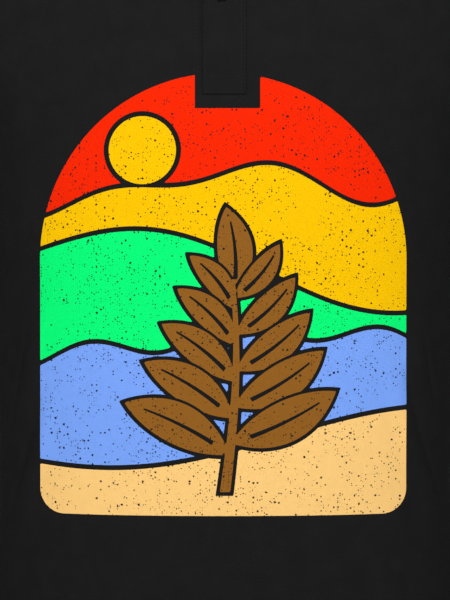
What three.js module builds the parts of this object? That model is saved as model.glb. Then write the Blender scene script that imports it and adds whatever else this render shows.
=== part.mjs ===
// A men's short-sleeve polo shirt in the form it takes when it is worn: hollow, front towards -Y, standing
// on its level hem. Millimetres, +Z up, the origin at the middle of the hem on the surface it stands on.
// Every cloth piece is a thin shell laid on one smooth torso form, so that neighbours meet at the seams.
import * as THREE from "three";
import { mergeVertices } from "three/addons/utils/BufferGeometryUtils.js";

// Driving sizes of the garment
const HEM_Z = 0;
const ARMPIT_Z = 445; // top of the side seams
const SHOULDER_TIP = { x: 218, z: 646 }; // where the shoulder seam meets the sleeve
const NECK_POINT = { x: 75, z: 712 }; // where the shoulder seam meets the collar
const NECK_DEPTH = { front: 84, back: 62 }; // how far the neckline reaches from the shoulder seam
const NECK_LOWEST_Z = 606; // the neckline lies above this height all round
const CLOTH = 2; // thickness of a cloth shell
const RIB = 2.4; // thickness of the rib-knit collar and cuffs
const GAP = 0.3; // between pieces that touch
const SQUARENESS = 0.12; // how much fuller than an ellipse a torso section is
const VENT = { height: 35, width: 3 }; // slit at the foot of each side seam
const BOX_SHIFT = 1.5; // backwards, from the side seams' plane to the middle of the whole box

// The torso form: half width at the sides, and depth forward and back of the side seam, by height
const STATIONS = [
  { name: "hem", z: 0, side: 214, front: 119, back: 112 },
  { name: "seat", z: 130, side: 205, front: 114, back: 110 },
  { name: "waist", z: 285, side: 191, front: 110, back: 96 },
  { name: "ribs", z: 370, side: 196, front: 118, back: 104 },
  { name: "armpit", z: 445, side: 207, front: 126, back: 118 },
  { name: "chest", z: 505, side: 230, front: 126, back: 126 },
  { name: "upper chest", z: 560, side: 243, front: 116, back: 124 },
  { name: "collar bone", z: 605, side: 240, front: 101, back: 113 },
  { name: "shoulder tip", z: 646, side: 218, front: 83, back: 96 },
  { name: "shoulder", z: 676, side: 164, front: 67, back: 80 },
  { name: "neck point", z: 712, side: 75, front: 50, back: 54 },
];

// Sleeves and cuffs
const SLEEVE_DROP = THREE.MathUtils.degToRad(47); // slope of the sleeve below level
const SHOULDER_SLOPE = THREE.MathUtils.degToRad(26); // slope at which the sleeve leaves the shoulder
const SLEEVE_TOP_LENGTH = 225; // from the shoulder tip to the end of the cuff
const SEAM_SHARE = 0.012; // the sleeve starts this share of its length outside the armhole
const CUFF = { halfHeight: 66, halfDepth: 56, length: 28, pinch: 0.985 };

// The collar: a stand up from the neck seam, folded over into a fall that ends in two points
const STAND = { front: 19, side: 26, back: 40 }; // height of the fold above the neck seam
const COLLAR = {
  lean: 5, // the stand lies this far inside the neck seam
  flare: 1, // and its top this much less
  rise: 1, // its foot above the neck seam
  middle: 0.55, // height of the line along the middle of the stand, as a share
  foldRadius: 3.4,
  fallOut: 0.8, // the outer face where the fall leaves the fold: share of its thickness outwards
  fallUp: 0.3, // and upwards
  bulge: 2, // how far the middle of the fall stands out from a straight line
  clear: 3.2, // the collar's edge above the cloth below it
};
const COLLAR_POINT = { x: 57, z: 590 }; // tip of each collar wing
const COLLAR_EDGE_OUT = { side: 27, back: 22 }; // how far the collar edge lies outside the neck seam
const COLLAR_OPEN_SHARE = 0.012; // of the neck seam, bare on each side of the middle of the front
const NECK_FRONT_SHARE = 0.28; // of the neck seam, from the middle of the front to the shoulder seam
const WING_SHARE = 0.3; // of the neck seam, over which the collar's edge runs out to its point
const WING_CURVE = 1.5; // how late it does so
const HALF = 0.5; // of the neck seam, from the middle of the front to the middle of the back

// Placket and buttons
const PLACKET = { width: 35, footZ: 475, thickness: 1.6, offset: -0.5, clear: 0.7, topDrop: 2, innerDrop: 7 };
const BUTTON = { radius: 5.7, thickness: 2.6, rim: 0.7, dish: 0.6, sides: 24 };
const BUTTON_HEIGHTS = { lower: 554, upper: 620 };
const BUTTON_X = -2.7; // midway between the placket's free edge and its inner row of stitches

// How finely each piece is divided
const PANEL = { columns: 26, shoulderColumns: 7, lowerRows: 11, upperRows: 12 };
const PANEL_ROWS = PANEL.lowerRows + PANEL.upperRows;
const ARMHOLE_EASING = 0.7; // how much closer the points lie at the two ends of an armhole
const SLEEVE_ROWS = 7;
const CUFF_ROWS = 2;
const COLLAR_STEPS = 30;
const PLACKET_ROWS = 10;
const PLACKET_COLUMNS = 3;
const HALVINGS = 40; // of an interval, to find a point on the form
const SLOPE_STEP = { angle: 1e-3, z: 0.5 }; // to find the form's outward direction

const MATERIALS = {
  pique: new THREE.MeshStandardMaterial({ color: 0x1b1b1d, roughness: 0.92, metalness: 0 }),
  rib: new THREE.MeshStandardMaterial({ color: 0x19191b, roughness: 0.95, metalness: 0 }),
  button: new THREE.MeshStandardMaterial({ color: 0x141416, roughness: 0.32, metalness: 0 }),
};

const { clamp, lerp, smoothstep } = THREE.MathUtils;
const UP = new THREE.Vector3(0, 0, 1);

// The last value from low to high at which a condition still holds
function lastWhere(low, high, holds) {
  for (let i = 0; i < HALVINGS; i++) {
    const middle = (low + high) / 2;
    if (holds(middle)) low = middle;
    else high = middle;
  }
  return low;
}

// A smooth value of one key of the stations at a height
function profile(key, z) {
  const last = STATIONS.length - 1;
  const next = STATIONS.findIndex((s) => s.z > z);
  const i = clamp(next < 0 ? last - 1 : next - 1, 0, last - 1);
  const slope = (k) => {
    const before = STATIONS[Math.max(k - 1, 0)];
    const after = STATIONS[Math.min(k + 1, last)];
    return (after[key] - before[key]) / (after.z - before.z);
  };
  const a = STATIONS[i];
  const b = STATIONS[i + 1];
  const h = b.z - a.z;
  const t = (z - a.z) / h;
  const t2 = t * t;
  const t3 = t2 * t;
  return (
    (2 * t3 - 3 * t2 + 1) * a[key] +
    (t3 - 2 * t2 + t) * h * slope(i) +
    (3 * t2 - 2 * t3) * b[key] +
    (t3 - t2) * h * slope(i + 1)
  );
}

// Half width of the form
function sideOf(z) {
  return profile("side", z);
}

// How full the sections are: a plain ellipse at the neck
function fullness(z) {
  return SQUARENESS * (1 - smoothstep(z, ARMPIT_Z, NECK_POINT.z));
}

// A point of the form: angle 0 at the +X side seam, a quarter turn at the middle of the front,
// half a turn at the -X side seam, and negative angles over the back
function formPoint(angle, z) {
  const c = Math.cos(angle);
  const s = Math.sin(angle);
  const depth = s > 0 ? profile("front", z) : profile("back", z);
  return new THREE.Vector3(sideOf(z) * c * (1 + fullness(z) * s * s), -depth * s, z);
}

// The outward direction of the form at a point
function formNormal(angle, z) {
  const low = Math.min(z, NECK_POINT.z - 2 * SLOPE_STEP.z);
  const along = formPoint(angle + SLOPE_STEP.angle, low).sub(formPoint(angle - SLOPE_STEP.angle, low));
  const up = formPoint(angle, low + SLOPE_STEP.z).sub(formPoint(angle, low - SLOPE_STEP.z));
  return up.cross(along).normalize();
}

// A point of the form moved outwards by a distance; on the hem it moves level, so that the hem stays flat
function formOffset(angle, z, distance) {
  const n = formNormal(angle, z);
  if (z <= HEM_Z) n.setZ(0).normalize();
  return formPoint(angle, z).addScaledVector(n, distance);
}

// The angle at which the form reaches a distance x from the middle, at a height
function angleAt(x, z) {
  const target = Math.min(x / sideOf(z), 1);
  return lastWhere(0, Math.PI / 2, (angle) => {
    const c = Math.cos(angle);
    return c * (1 + fullness(z) * (1 - c * c)) > target;
  });
}

// The height at which an upright line at x, y leaves the form, on the front or the back
function heightAt(x, y, face, low) {
  return lastWhere(low, NECK_POINT.z, (z) => (x / sideOf(z)) ** 2 + (y / profile(face, z)) ** 2 < 1);
}

// The armhole seam, t from the armpit (0) to the shoulder tip (1), with closer points at both ends
function armhole(t) {
  const eased = lerp(t, (1 - Math.cos(Math.PI * t)) / 2, ARMHOLE_EASING);
  const z = lerp(ARMPIT_Z, SHOULDER_TIP.z, eased);
  const seamX = lerp(sideOf(ARMPIT_Z), SHOULDER_TIP.x, eased);
  return { angle: angleAt(seamX, z), z };
}

// The neckline: where an upright oval tube meets the form; turn 0 at the neck point, 1 at the middle
function neckline(turn, face) {
  const x = NECK_POINT.x * Math.cos((turn * Math.PI) / 2);
  const y = NECK_DEPTH[face] * Math.sin((turn * Math.PI) / 2);
  const z = heightAt(x, y, face, NECK_LOWEST_Z);
  return { angle: Math.atan2(y / profile(face, z), x / sideOf(z)), z };
}

// The top edge of a panel: shoulder seam, neckline, shoulder seam, s from the +X side to the -X side
function topEdge(s, face) {
  const shoulderShare = PANEL.shoulderColumns / PANEL.columns;
  const fromSide = Math.min(s, 1 - s);
  let edge;
  if (fromSide < shoulderShare) {
    edge = { angle: 0, z: lerp(SHOULDER_TIP.z, NECK_POINT.z, fromSide / shoulderShare) };
  } else {
    edge = neckline((fromSide - shoulderShare) / (0.5 - shoulderShare), face);
  }
  return s > 0.5 ? { angle: Math.PI - edge.angle, z: edge.z } : edge;
}

// Angle and height of a point of a body panel: s across from the +X seam, row up from the hem.
// Above the armpits the four edges are blended, so that the columns follow the armholes and the neck.
function panelPlace(s, row, face) {
  if (row <= PANEL.lowerRows) {
    return { angle: s * Math.PI, z: lerp(HEM_Z, ARMPIT_Z, row / PANEL.lowerRows) };
  }
  const t = (row - PANEL.lowerRows) / PANEL.upperRows;
  const top = topEdge(s, face);
  const side = armhole(t);
  const blend = (bottom, upper, right, left, corners) =>
    (1 - t) * bottom + t * upper + (1 - s) * right + s * left - corners;
  return {
    angle: blend(s * Math.PI, top.angle, side.angle, Math.PI - side.angle, s * Math.PI),
    z: blend(ARMPIT_Z, top.z, side.z, side.z, lerp(ARMPIT_Z, SHOULDER_TIP.z, t)),
  };
}

// A closed shell from an outer and an inner net of points; loop joins the last column to the first
function shell(outer, inner, loop = false) {
  const rows = outer.length;
  const columns = outer[0].length;
  const points = [...outer.flat(), ...inner.flat()];
  const half = rows * columns;
  const id = (layer, r, c) => layer * half + r * columns + (c % columns);
  const faces = [];
  const quad = (a, b, c, d) => faces.push(a, b, c, a, c, d);
  const spans = loop ? columns : columns - 1;
  for (let r = 0; r < rows - 1; r++) {
    for (let c = 0; c < spans; c++) {
      quad(id(0, r, c), id(0, r, c + 1), id(0, r + 1, c + 1), id(0, r + 1, c));
      quad(id(1, r, c), id(1, r + 1, c), id(1, r + 1, c + 1), id(1, r, c + 1));
    }
  }
  for (let c = 0; c < spans; c++) {
    quad(id(1, 0, c), id(1, 0, c + 1), id(0, 0, c + 1), id(0, 0, c));
    quad(id(0, rows - 1, c), id(0, rows - 1, c + 1), id(1, rows - 1, c + 1), id(1, rows - 1, c));
  }
  for (let r = 0; r < rows - 1 && !loop; r++) {
    quad(id(0, r, 0), id(0, r + 1, 0), id(1, r + 1, 0), id(1, r, 0));
    const e = columns - 1;
    quad(id(1, r, e), id(1, r + 1, e), id(0, r + 1, e), id(0, r, e));
  }
  const geometry = new THREE.BufferGeometry().setFromPoints(points);
  geometry.setIndex(faces);
  return outwards(geometry);
}

// Turns the faces of a closed geometry round where they point inwards
function outwards(geometry) {
  const p = geometry.attributes.position;
  const index = geometry.index.array;
  const [a, b, c] = [new THREE.Vector3(), new THREE.Vector3(), new THREE.Vector3()];
  let volume = 0;
  for (let i = 0; i < index.length; i += 3) {
    a.fromBufferAttribute(p, index[i]);
    b.fromBufferAttribute(p, index[i + 1]);
    c.fromBufferAttribute(p, index[i + 2]);
    volume += a.dot(b.cross(c));
  }
  if (volume < 0) {
    for (let i = 0; i < index.length; i += 3) {
      [index[i + 1], index[i + 2]] = [index[i + 2], index[i + 1]];
    }
  }
  geometry.computeVertexNormals();
  return geometry;
}

// How far a panel's edge stands back from its seam at a height, more in the vent
function seamSetback(z) {
  const open = clamp(1 - z / VENT.height, 0, 1);
  return GAP / 2 + (open * VENT.width) / 2;
}

// The front or the back of the body
function bodyPanel(face) {
  const sign = face === "front" ? 1 : -1;
  const net = (distance) => {
    const rows = [];
    for (let row = 0; row <= PANEL_ROWS; row++) {
      const line = [];
      for (let column = 0; column <= PANEL.columns; column++) {
        const place = panelPlace(column / PANEL.columns, row, face);
        const point = formOffset(sign * place.angle, place.z, distance);
        const onSeam = column === 0 || column === PANEL.columns || row === PANEL_ROWS;
        if (onSeam) point.y -= sign * seamSetback(place.z);
        line.push(point);
      }
      rows.push(line);
    }
    return rows;
  };
  return shell(net(0), net(-CLOTH));
}

// The closed armhole seam on the +X side, from the shoulder tip down the front and up the back
function armholeLoop() {
  const places = [];
  for (let i = 0; i < 2 * PANEL.upperRows; i++) {
    const down = i <= PANEL.upperRows;
    const t = down ? 1 - i / PANEL.upperRows : i / PANEL.upperRows - 1;
    const place = armhole(t);
    places.push(formPoint(down ? place.angle : -place.angle, place.z));
  }
  return places;
}

// A ring of points of the +X sleeve, at a share of its length; from 1 on it is straight, in the cuff
function sleeveRing(share, distance) {
  const down = new THREE.Vector3(Math.cos(SLEEVE_DROP), 0, -Math.sin(SLEEVE_DROP));
  const under = new THREE.Vector3(-Math.sin(SLEEVE_DROP), 0, -Math.cos(SLEEVE_DROP));
  const leaving = new THREE.Vector3(Math.cos(SHOULDER_SLOPE), 0, -Math.sin(SHOULDER_SLOPE));
  const tip = new THREE.Vector3(SHOULDER_TIP.x, 0, SHOULDER_TIP.z);
  const centre = tip
    .clone()
    .addScaledVector(down, SLEEVE_TOP_LENGTH - CUFF.length)
    .addScaledVector(under, CUFF.halfHeight);
  const loop = armholeLoop();
  const middle = loop.reduce((sum, p) => sum.add(p), new THREE.Vector3()).divideScalar(loop.length);
  return loop.map((start, i) => {
    const turn = (i / loop.length) * 2 * Math.PI;
    const radial = under
      .clone()
      .multiplyScalar(-Math.cos(turn) * CUFF.halfHeight)
      .add(new THREE.Vector3(0, -Math.sin(turn) * CUFF.halfDepth, 0));
    const end = centre.clone().add(radial);
    const reach = start.distanceTo(end);
    const t = Math.min(share, 1);
    const point = start
      .clone()
      .multiplyScalar(2 * t ** 3 - 3 * t ** 2 + 1)
      .addScaledVector(leaving, (t ** 3 - 2 * t ** 2 + t) * reach)
      .addScaledVector(end, 3 * t ** 2 - 2 * t ** 3)
      .addScaledVector(down, (t ** 3 - t ** 2) * reach);
    const intoCuff = Math.max(share - 1, 0) * CUFF.length;
    const pinch = lerp(1, CUFF.pinch, Math.min(intoCuff / CUFF.length, 1));
    if (intoCuff > 0) {
      point.copy(centre).addScaledVector(radial, pinch).addScaledVector(down, intoCuff);
    }
    const outward = point.clone().sub(middle.clone().lerp(centre, t).addScaledVector(down, intoCuff));
    outward.addScaledVector(down, -outward.dot(down)).normalize();
    return point.addScaledVector(outward, distance);
  });
}

// A sleeve or a cuff, between two shares of the sleeve's length; side is 1 for +X and -1 for -X
function sleevePart(side, from, to, rows, thickness) {
  const net = (distance) => {
    const rings = [];
    for (let row = 0; row <= rows; row++) {
      const ring = sleeveRing(lerp(from, to, row / rows), distance);
      rings.push(ring.map((p) => new THREE.Vector3(side * p.x, p.y, p.z)));
    }
    return rings;
  };
  return shell(net(0), net(-thickness), true);
}

// The neck seam as one open line, share 0 at the middle of the front, going round by +X to the front again
function neckSeam(share) {
  const turned = Math.min(share, 1 - share);
  let place;
  if (turned < NECK_FRONT_SHARE) {
    place = neckline(1 - turned / NECK_FRONT_SHARE, "front");
  } else {
    place = neckline((turned - NECK_FRONT_SHARE) / (HALF - NECK_FRONT_SHARE), "back");
    place.angle *= -1;
  }
  const angle = share <= HALF ? place.angle : Math.PI - place.angle;
  const point = formPoint(angle, place.z);
  const outward = new THREE.Vector3(point.x / NECK_POINT.x ** 2, point.y / NECK_DEPTH.front ** 2, 0);
  return { point, outward: outward.normalize(), turned };
}

// Where the free edge of the collar lies on the form, for the same shares
function collarEdge(share) {
  const { point, outward, turned } = neckSeam(share);
  const wing = 1 - smoothstep(turned, 0, WING_SHARE);
  const back = smoothstep(turned, WING_SHARE, HALF);
  const reach = lerp(COLLAR_EDGE_OUT.side, COLLAR_EDGE_OUT.back, back);
  const tipShare = wing ** WING_CURVE;
  const x = lerp(Math.abs(point.x) + Math.abs(outward.x) * reach, COLLAR_POINT.x, tipShare);
  const y = point.y + outward.y * reach * (1 - tipShare);
  const onForm = heightAt(x, y, y < 0 ? "front" : "back", COLLAR_POINT.z);
  const z = lerp(onForm, COLLAR_POINT.z, tipShare);
  const angle = angleAt(x, z) * (y < 0 ? 1 : -1);
  return { angle: share <= HALF ? angle : Math.PI - angle, z };
}

// A cross-section of the collar: up the stand, over the fold and down the fall, offset to one side
function collarSection(share, distance) {
  const { point, outward, turned } = neckSeam(share);
  const inwards = outward.clone().negate();
  const toSide = smoothstep(turned, 0, NECK_FRONT_SHARE);
  const toBack = smoothstep(turned, NECK_FRONT_SHARE, HALF);
  const stand = lerp(STAND.front, STAND.side, toSide) + (STAND.back - STAND.side) * toBack;
  const footIn = COLLAR.lean + CLOTH;
  const foot = point.clone().addScaledVector(inwards, footIn).addScaledVector(UP, COLLAR.rise + GAP);
  const top = point.clone().addScaledVector(inwards, footIn - COLLAR.flare).addScaledVector(UP, stand);
  const place = collarEdge(share);
  const edge = formOffset(place.angle, place.z, COLLAR.clear + RIB);
  const outTop = top.clone().addScaledVector(outward, 2 * COLLAR.foldRadius);
  const falling = edge.clone().sub(outTop).normalize();
  const fallNormal = falling.clone().cross(new THREE.Vector3(-outward.y, outward.x, 0)).normalize();
  if (fallNormal.dot(outward) < 0) fallNormal.negate();
  const overFold = outward.clone().add(UP).multiplyScalar(COLLAR.foldRadius);
  const crown = top.clone().add(overFold);
  const middle = outTop.clone().lerp(edge, 0.5).addScaledVector(fallNormal, COLLAR.bulge);
  foot.addScaledVector(inwards, distance);
  return [
    foot,
    foot.clone().lerp(top, COLLAR.middle).addScaledVector(inwards, distance),
    top.addScaledVector(inwards, distance),
    crown.addScaledVector(UP, distance),
    outTop.addScaledVector(outward, distance * COLLAR.fallOut).addScaledVector(UP, distance * COLLAR.fallUp),
    middle.addScaledVector(fallNormal, distance),
    edge.addScaledVector(fallNormal, distance),
  ];
}

// The folded rib-knit collar, open at the middle of the front
function collar() {
  const net = (distance) => {
    const lines = [];
    for (let i = 0; i <= COLLAR_STEPS; i++) {
      const share = lerp(COLLAR_OPEN_SHARE, 1 - COLLAR_OPEN_SHARE, i / COLLAR_STEPS);
      lines.push(collarSection(share, distance));
    }
    return lines;
  };
  return shell(net(0), net(-RIB));
}

// A band down the middle of the front, on the outside or the inside of the cloth
function placketBand(outside) {
  const inner = outside ? PLACKET.clear : -CLOTH - PLACKET.clear - PLACKET.thickness;
  const drop = outside ? PLACKET.topDrop : PLACKET.innerDrop;
  const net = (distance) => {
    const lines = [];
    for (let row = 0; row <= PLACKET_ROWS; row++) {
      const line = [];
      for (let column = 0; column <= PLACKET_COLUMNS; column++) {
        const x = PLACKET.offset + PLACKET.width * (column / PLACKET_COLUMNS - 0.5);
        const topZ = neckline(1 - Math.abs(x) / NECK_POINT.x, "front").z - drop;
        const z = lerp(PLACKET.footZ, topZ, row / PLACKET_ROWS);
        const angle = x >= 0 ? angleAt(x, z) : Math.PI - angleAt(-x, z);
        line.push(formOffset(angle, z, distance));
      }
      lines.push(line);
    }
    return lines;
  };
  return shell(net(inner + PLACKET.thickness), net(inner));
}

// A round button with a raised rim round a shallow dish, lying in its own plane
function buttonGeometry() {
  const { radius, thickness, rim, dish } = BUTTON;
  const outline = [
    [0, 0],
    [radius - rim, 0],
    [radius, rim],
    [radius, thickness - rim],
    [radius - rim / 2, thickness],
    [radius - 2 * rim, thickness],
    [radius - 2.5 * rim, thickness - dish],
    [0, thickness - dish],
  ];
  const profilePoints = outline.map(([r, h]) => new THREE.Vector2(r, h));
  const lathe = new THREE.LatheGeometry(profilePoints, BUTTON.sides);
  lathe.deleteAttribute("normal");
  lathe.deleteAttribute("uv");
  lathe.rotateX(Math.PI / 2);
  return outwards(mergeVertices(lathe, GAP / 100));
}

// A button on the placket at a height, facing along the cloth's normal
function button(name, z) {
  const mesh = piece(name, buttonGeometry(), MATERIALS.button);
  const angle = Math.PI / 2 - BUTTON_X / sideOf(z);
  const normal = formNormal(angle, z);
  const lift = PLACKET.clear + PLACKET.thickness + GAP;
  mesh.quaternion.setFromUnitVectors(UP, normal);
  mesh.position.copy(formPoint(angle, z).addScaledVector(normal, lift));
  return mesh;
}

// A named mesh of one geometry and one material
function piece(name, geometry, material) {
  const mesh = new THREE.Mesh(geometry, material);
  mesh.name = name;
  return mesh;
}

const body = new THREE.Group();
for (const face of ["front", "back"]) {
  body.add(piece(`${face}_panel`, bodyPanel(face), MATERIALS.pique));
}

const sleeves = new THREE.Group();
for (const [name, side] of [["left", 1], ["right", -1]]) {
  const sleeve = sleevePart(side, SEAM_SHARE, 1, SLEEVE_ROWS, CLOTH);
  const cuff = sleevePart(side, 1 + GAP / CUFF.length, 2, CUFF_ROWS, RIB);
  sleeves.add(piece(`sleeve_${name}`, sleeve, MATERIALS.pique));
  sleeves.add(piece(`cuff_${name}`, cuff, MATERIALS.rib));
}

const neck = new THREE.Group();
neck.add(piece("collar", collar(), MATERIALS.rib));
neck.add(piece("placket_outer", placketBand(true), MATERIALS.pique));
neck.add(piece("placket_inner", placketBand(false), MATERIALS.pique));
for (const [name, z] of Object.entries(BUTTON_HEIGHTS)) {
  neck.add(button(`button_${name}`, z));
}

const group = new THREE.Group();
group.add(body, sleeves, neck);
group.position.y = BOX_SHIFT;

export default group;
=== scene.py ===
# A men's black polo shirt in its worn shape, standing on its hem, with a large colour print on the front.
# Metres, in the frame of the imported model: +Z up, front towards -Y, +X to the wearer's left.
import math

import bmesh
import bpy
import numpy as np
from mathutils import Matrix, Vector
from mathutils.bvhtree import BVHTree


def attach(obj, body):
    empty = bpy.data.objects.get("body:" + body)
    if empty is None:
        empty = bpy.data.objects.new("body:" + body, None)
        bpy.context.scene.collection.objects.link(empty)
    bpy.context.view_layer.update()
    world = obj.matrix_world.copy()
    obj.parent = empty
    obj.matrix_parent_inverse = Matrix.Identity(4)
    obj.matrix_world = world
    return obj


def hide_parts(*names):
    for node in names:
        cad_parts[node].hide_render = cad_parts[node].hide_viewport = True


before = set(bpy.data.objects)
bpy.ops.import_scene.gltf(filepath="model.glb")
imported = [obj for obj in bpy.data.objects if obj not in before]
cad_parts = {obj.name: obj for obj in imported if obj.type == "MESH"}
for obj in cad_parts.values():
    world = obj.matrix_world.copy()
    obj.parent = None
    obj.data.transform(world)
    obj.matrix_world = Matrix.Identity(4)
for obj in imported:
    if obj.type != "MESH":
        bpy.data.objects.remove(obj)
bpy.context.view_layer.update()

# Driving sizes, the same as the frame's
HEM_Z = 0.0
ARMPIT_Z = 0.445
SHOULDER_TIP = (0.218, 0.646)
NECK_POINT = (0.075, 0.712)
NECK_DEPTH = {"front": 0.084, "back": 0.062}
NECK_LOWEST_Z = 0.606
SQUARENESS = 0.12
BOX_SHIFT = 0.0015
ARMHOLE_EASING = 0.7

# The torso form by height: half width at the sides, and depth forward and back of the side seams
STATIONS = {
    "hem": (0.000, 0.214, 0.119, 0.112),
    "seat": (0.130, 0.205, 0.114, 0.110),
    "waist": (0.285, 0.191, 0.110, 0.096),
    "ribs": (0.370, 0.196, 0.118, 0.104),
    "armpit": (0.445, 0.207, 0.126, 0.118),
    "chest": (0.505, 0.230, 0.126, 0.126),
    "upper chest": (0.560, 0.243, 0.116, 0.124),
    "collar bone": (0.605, 0.240, 0.101, 0.113),
    "shoulder tip": (0.646, 0.218, 0.083, 0.096),
    "shoulder": (0.676, 0.164, 0.067, 0.080),
    "neck point": (0.712, 0.075, 0.050, 0.054),
}

# Sleeves
SLEEVE_DROP = math.radians(47)
SHOULDER_SLOPE = math.radians(26)
SLEEVE_TOP_LENGTH = 0.225
CUFF_HALF_HEIGHT = 0.066
CUFF_HALF_DEPTH = 0.056
CUFF_LENGTH = 0.028
CUFF_END = 0.985  # how wide the cuff's end is, as a share of its start

# Thicknesses
CLOTH = 0.0012
RIB = 0.0021

# How finely the cloth is divided for its simulation
PANELS = ("front", "back")
SLEEVES = ("left", "right")
COLUMNS = 60
SHOULDER_COLUMNS = 16
LOWER_ROWS = 50
UPPER_ROWS = 26
PANEL_ROWS = LOWER_ROWS + UPPER_ROWS
SLEEVE_ROWS = 22
CUFF_ROWS = 4
SMOOTHING = 3  # each simulated cell becomes this many cells each way
TRIM_SMOOTHING = 6  # the same, for the surface that the print and the placket lie on
EDGE_STEPS = (0.06, 0.13, 0.21, 0.45, 0.56, 0.8)  # extra lines near a seam, in cells


def smoothstep(x, low, high):
    t = np.clip((np.asarray(x, float) - low) / (high - low), 0.0, 1.0)
    return t * t * (3.0 - 2.0 * t)


def lerp(a, b, t):
    return a + (b - a) * t


def bump_at(x, centre, width):
    """A soft hump of height 1 round a place."""
    return np.exp(-(((x - centre) / width) ** 2))


def hermite(t):
    """Weights of a curve's start, its slope there, its end, and its slope there."""
    t2, t3 = t * t, t * t * t
    return 2 * t3 - 3 * t2 + 1, t3 - 2 * t2 + t, 3 * t2 - 2 * t3, t3 - t2


def last_where(low, high, holds):
    """For each element the last value between low and high at which a condition still holds."""
    for _ in range(40):
        middle = (low + high) / 2
        met = holds(middle)
        low, high = np.where(met, middle, low), np.where(met, high, middle)
    return low


def unit(v):
    return v / np.maximum(np.linalg.norm(v, axis=-1, keepdims=True), 1e-12)


def set_all(target, values):
    for key, value in values.items():
        setattr(target, key, value)


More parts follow.
